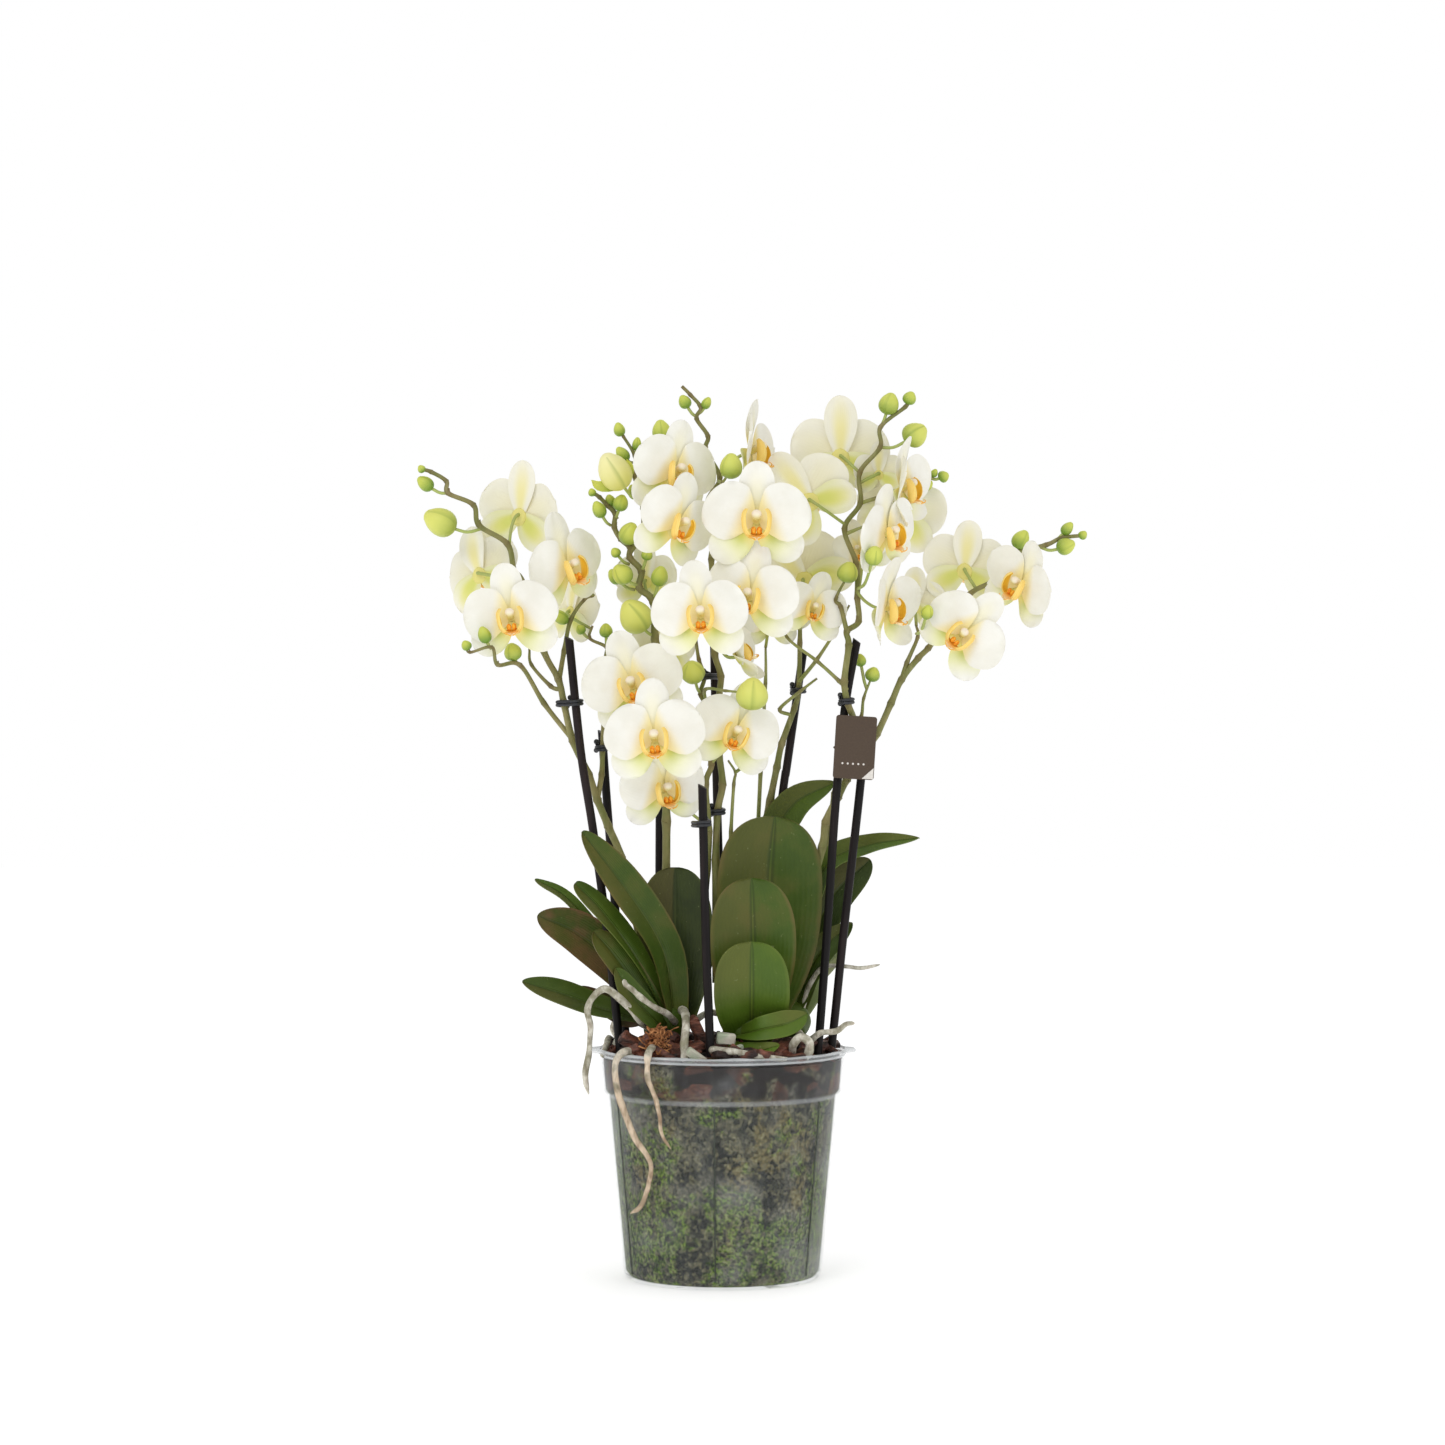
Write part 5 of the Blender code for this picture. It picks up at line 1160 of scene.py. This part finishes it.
def outline(share, base, open_by, close_from, roundness):
    """Width of a petal along its length, as a share of its widest: a claw that opens into a blade."""
    open_up = base + (1 - base) * math.sin(min(share / open_by, 1) * math.pi / 2)
    closing = max(0.0, (share - close_from) / (1 - close_from))
    return open_up * max(1 - closing ** roundness, 0.0004) ** 0.5


def bloom_parts(cage, seed, shape, cupped):
    """One bloom at the origin, facing -Y with its top towards +Z; shape varies it a little, and
    cupped brings the tips of its petals forward, in millimetres."""
    for name, (direction, near, far, widest, depth, wash, warm) in BLADES.items():
        angle = math.radians(direction + shape.uniform(-4, 4))
        out = Vector((math.cos(angle), 0, math.sin(angle)))
        bend = shape.uniform(-2.5, 2.5)
        sideways = Vector((-out.z, 0, out.x)) * bend
        reach = shape.uniform(0.95, 1.02)
        set_back = Vector((0, depth, 0))
        spine = smooth_path([out * near + set_back * 0.3,
                             out * (near + (far - near) * 0.35 * reach) + set_back,
                             out * (near + (far - near) * 0.7 * reach) + sideways * 0.4 + set_back,
                             out * (far * reach) + sideways + set_back], 5)
        is_petal = name.endswith("petal")
        form = PETAL_FORM if is_petal else SEPAL_FORM
        offset, fall = shape.uniform(0, 60), shape.uniform(1.0, 5.0) if is_petal else shape.uniform(0, 4)
        cup = shape.uniform(0.5, 2.5)

        def lift(share, side):
            ripple = noise.noise(Vector((side * 1.3, share * 2.4, offset))) * (2.0 if is_petal else 1.3)
            belly = cup * (1 - side * side) * math.sin(math.pi * min(share * 1.15, 1))
            vein = -0.28 * math.exp(-(side / 0.07) ** 2) * (1 - share)
            return belly + (cupped - fall) * share ** 2 + ripple * share + vein

        blade(cage, spine, (0, -1, 0), lambda share: widest * outline(share, *form), lift, PETAL_THICKNESS,
              PETAL_ROWS, PETAL_COLUMNS, (wash, warm, seed))
    throat = bmesh.ops.create_icosphere(cage, subdivisions=2, radius=1.0)["verts"]
    put(cage, throat, (5.4, 1.1, 5.8), centre=(0, 1.6, -1.6))
    note(cage, throat, (0.3, 0.2, 0), (0.8, 0, seed))
    for hand in (-1, 1):
        arm = smooth_path([(hand * 1.6, -4.6, -7.0), (hand * 4.2, -6.6, -6.2), (hand * 6.0, -7.6, -3.2),
                           (hand * 6.6, -7.6, 0.8), (hand * 6.7, -6.8, 4.6), (hand * 5.7, -5.4, 7.4)], 4)
        blade(cage, arm, lambda spot: Vector((0, spot.y, 0.002)) - spot,
              lambda share: 0.8 + 2.1 * math.sin(math.pi * (0.12 + 0.8 * share)),
              lambda share, side: 1.0 * side * side, 1.4, 12, 4, (0.0, hand, seed), 1)
        curl = smooth_path([(hand * 0.7, -11.8, -8.4), (hand * 2.2, -13.2, -7.6), (hand * 3.8, -12.4, -6.4),
                            (hand * 4.4, -11.0, -6.6)], 3)
        note(cage, tube(cage, curl, lambda share: 0.42 * (1 - 0.7 * share), 6, 1), tone=(0.3, 0, seed))
        boss = bmesh.ops.create_icosphere(cage, subdivisions=2, radius=1.0)["verts"]
        put(cage, boss, Vector((0.85, 1.0, 1.25)) * 1.75, centre=(hand * 1.5, -6.6, -3.9))
        note(cage, boss, tone=(1.0, 0, seed))
        faced(boss, 1)
    tongue = smooth_path([(0, -3.4, -5.4), (0, -6.4, -6.6), (0, -9.6, -8.2), (0, -12.4, -8.6)], 4)
    blade(cage, tongue, (0, -0.3, 1),
          lambda share: 2.2 + 2.4 * math.sin(math.pi * share ** 1.3) - 1.6 * share,
          lambda share, side: 1.3 * side * side, 0.6, 10, 6, (0.6, 0, seed), 1)
    column = tube(cage, smooth_path([(0, 0.6, 0.6), (0, -2.4, 2.6), (0, -5.2, 4.0), (0, -6.8, 4.4)], 3),
                  lambda share: 2.0 + 0.7 * share, 14, 2)
    cap = bmesh.ops.create_uvsphere(cage, u_segments=14, v_segments=8, radius=1.0)["verts"]
    put(cage, cap, (2.8, 2.1, 2.5), centre=(0, -7.2, 4.7))
    faced(cap, 2)
    note(cage, column | set(cap), tone=lambda vert: (min(1.0, -vert.co.y / MM / 8), vert.co.z / MM / 8, seed))


# The glow stands for the light that a thin petal lets through.
petal_white, where, shader = finish("petal", Specular_IOR_Level=0.25, Emission_Strength=0.05)
side, share, back = carried(where, "blade")
wash, warm, _ = carried(where, "tone")
cloud = speckle(where, 60, 3)
vein_lines = side.math("SINE", side * 26 + cloud * 2.5).size()
veins = vein_lines.rise(0.22, 0.0) * share.rise(1.0, 0.35)
centre_line = side.size().rise(0.75, 0.1)
colour = coated(
    mix(cloud.rise(0.3, 0.7), paint(233, 231, 220), paint(240, 239, 231)),
    (wash.rise(0.5, 1.0) * share.rise(1.0, 0.35) * 0.75, paint(236, 238, 176)),
    (wash.rise(0.3, 1.0) * share.rise(0.66, 0.2) * (0.4 + centre_line * 0.6), paint(190, 198, 76)),
    (wash.rise(0.17, 0.22) * wash.rise(0.5, 0.4) * centre_line * share.rise(0.95, 0.3) * 0.5,
     paint(246, 240, 190)),
    (share.rise(0.40, 0.12) * 0.75, paint(240, 222, 134)),
    (veins * 0.07, paint(206, 204, 176)))
rear = mix(warm * centre_line * share.rise(1.1, 0.3), paint(238, 235, 220), paint(238, 228, 150))
rear = mix(wash.rise(0.4, 1.0) * share.rise(1.0, 0.25) * (0.5 + centre_line * 0.5), rear,
           paint(214, 216, 118))
colour = mix(back, colour, mix(veins * 0.14, rear, paint(206, 200, 140)))
feed(shader, Base_Color=colour, Emission_Color=colour, Roughness=0.5 + cloud * 0.12,
     Normal=bump(vein_lines * 0.25 + cloud * 0.5, 0.22, 0.5))

lip_gold, where, shader = finish("lip", Specular_IOR_Level=0.4)
side, share, outside = carried(where, "blade")
zone = carried(where, "tone")[0]
spots = speckle(where, 900, 3)
stripes = side.math("SINE", side * 13 + spots * 2).size().rise(0.4, 0.0)
colour = coated(
    mix(side.size().rise(1.2, 0.5), paint(251, 216, 104), paint(247, 196, 58)),
    (outside * 0.45, mix(stripes, paint(254, 236, 160), paint(244, 176, 60))),
    (share.rise(0.3, 0.05) * 0.7, paint(246, 168, 44)),
    (stripes * share.rise(0.5, 0.1) * 0.35, paint(224, 116, 30)),
    (zone.rise(0.15, 0.5), mix(share.rise(0.9, 0.2), paint(252, 236, 190), paint(246, 178, 44))),
    (zone.rise(0.7, 1.0), mix(spots.rise(0.45, 0.62), paint(252, 182, 46), paint(238, 128, 26))))
feed(shader, Base_Color=colour, Roughness=0.4 + spots * 0.15, Normal=bump(spots, 0.2, 0.2))

column_pale, where, shader = finish("column", Specular_IOR_Level=0.4)
forward, high, _ = carried(where, "tone")
colour = mix(high.rise(0.15, 0.7), paint(226, 216, 130), paint(246, 238, 216))
colour = mix(forward.rise(0.7, 1.0) * high.rise(0.5, 0.75) * 0.35, colour, paint(244, 214, 180))
feed(shader, Base_Color=colour, Roughness=0.4 + speckle(where, 300) * 0.15,
     Normal=bump(speckle(where, 500), 0.12, 0.2))

for number, (centre, turn, nod, roll, scale, _) in FLOWERS.items():
    cage = tagged_cage()
    shape = random.Random(number * 31)
    bloom_parts(cage, shape.uniform(0, 1), shape, CUPPED.get(number, 0))
    bmesh.ops.scale(cage, vec=(scale, scale, scale), verts=cage.verts)
    put(cage, cage.verts, turn=flower_turn(turn, nod, roll), centre=centre)
    piece(f"bloom_{number:02d}", cage, (petal_white, lip_gold, column_pale),
          () if number in HALF_HIDDEN else [f"flower_{number:02d}"], sharp=70)

low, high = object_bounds()
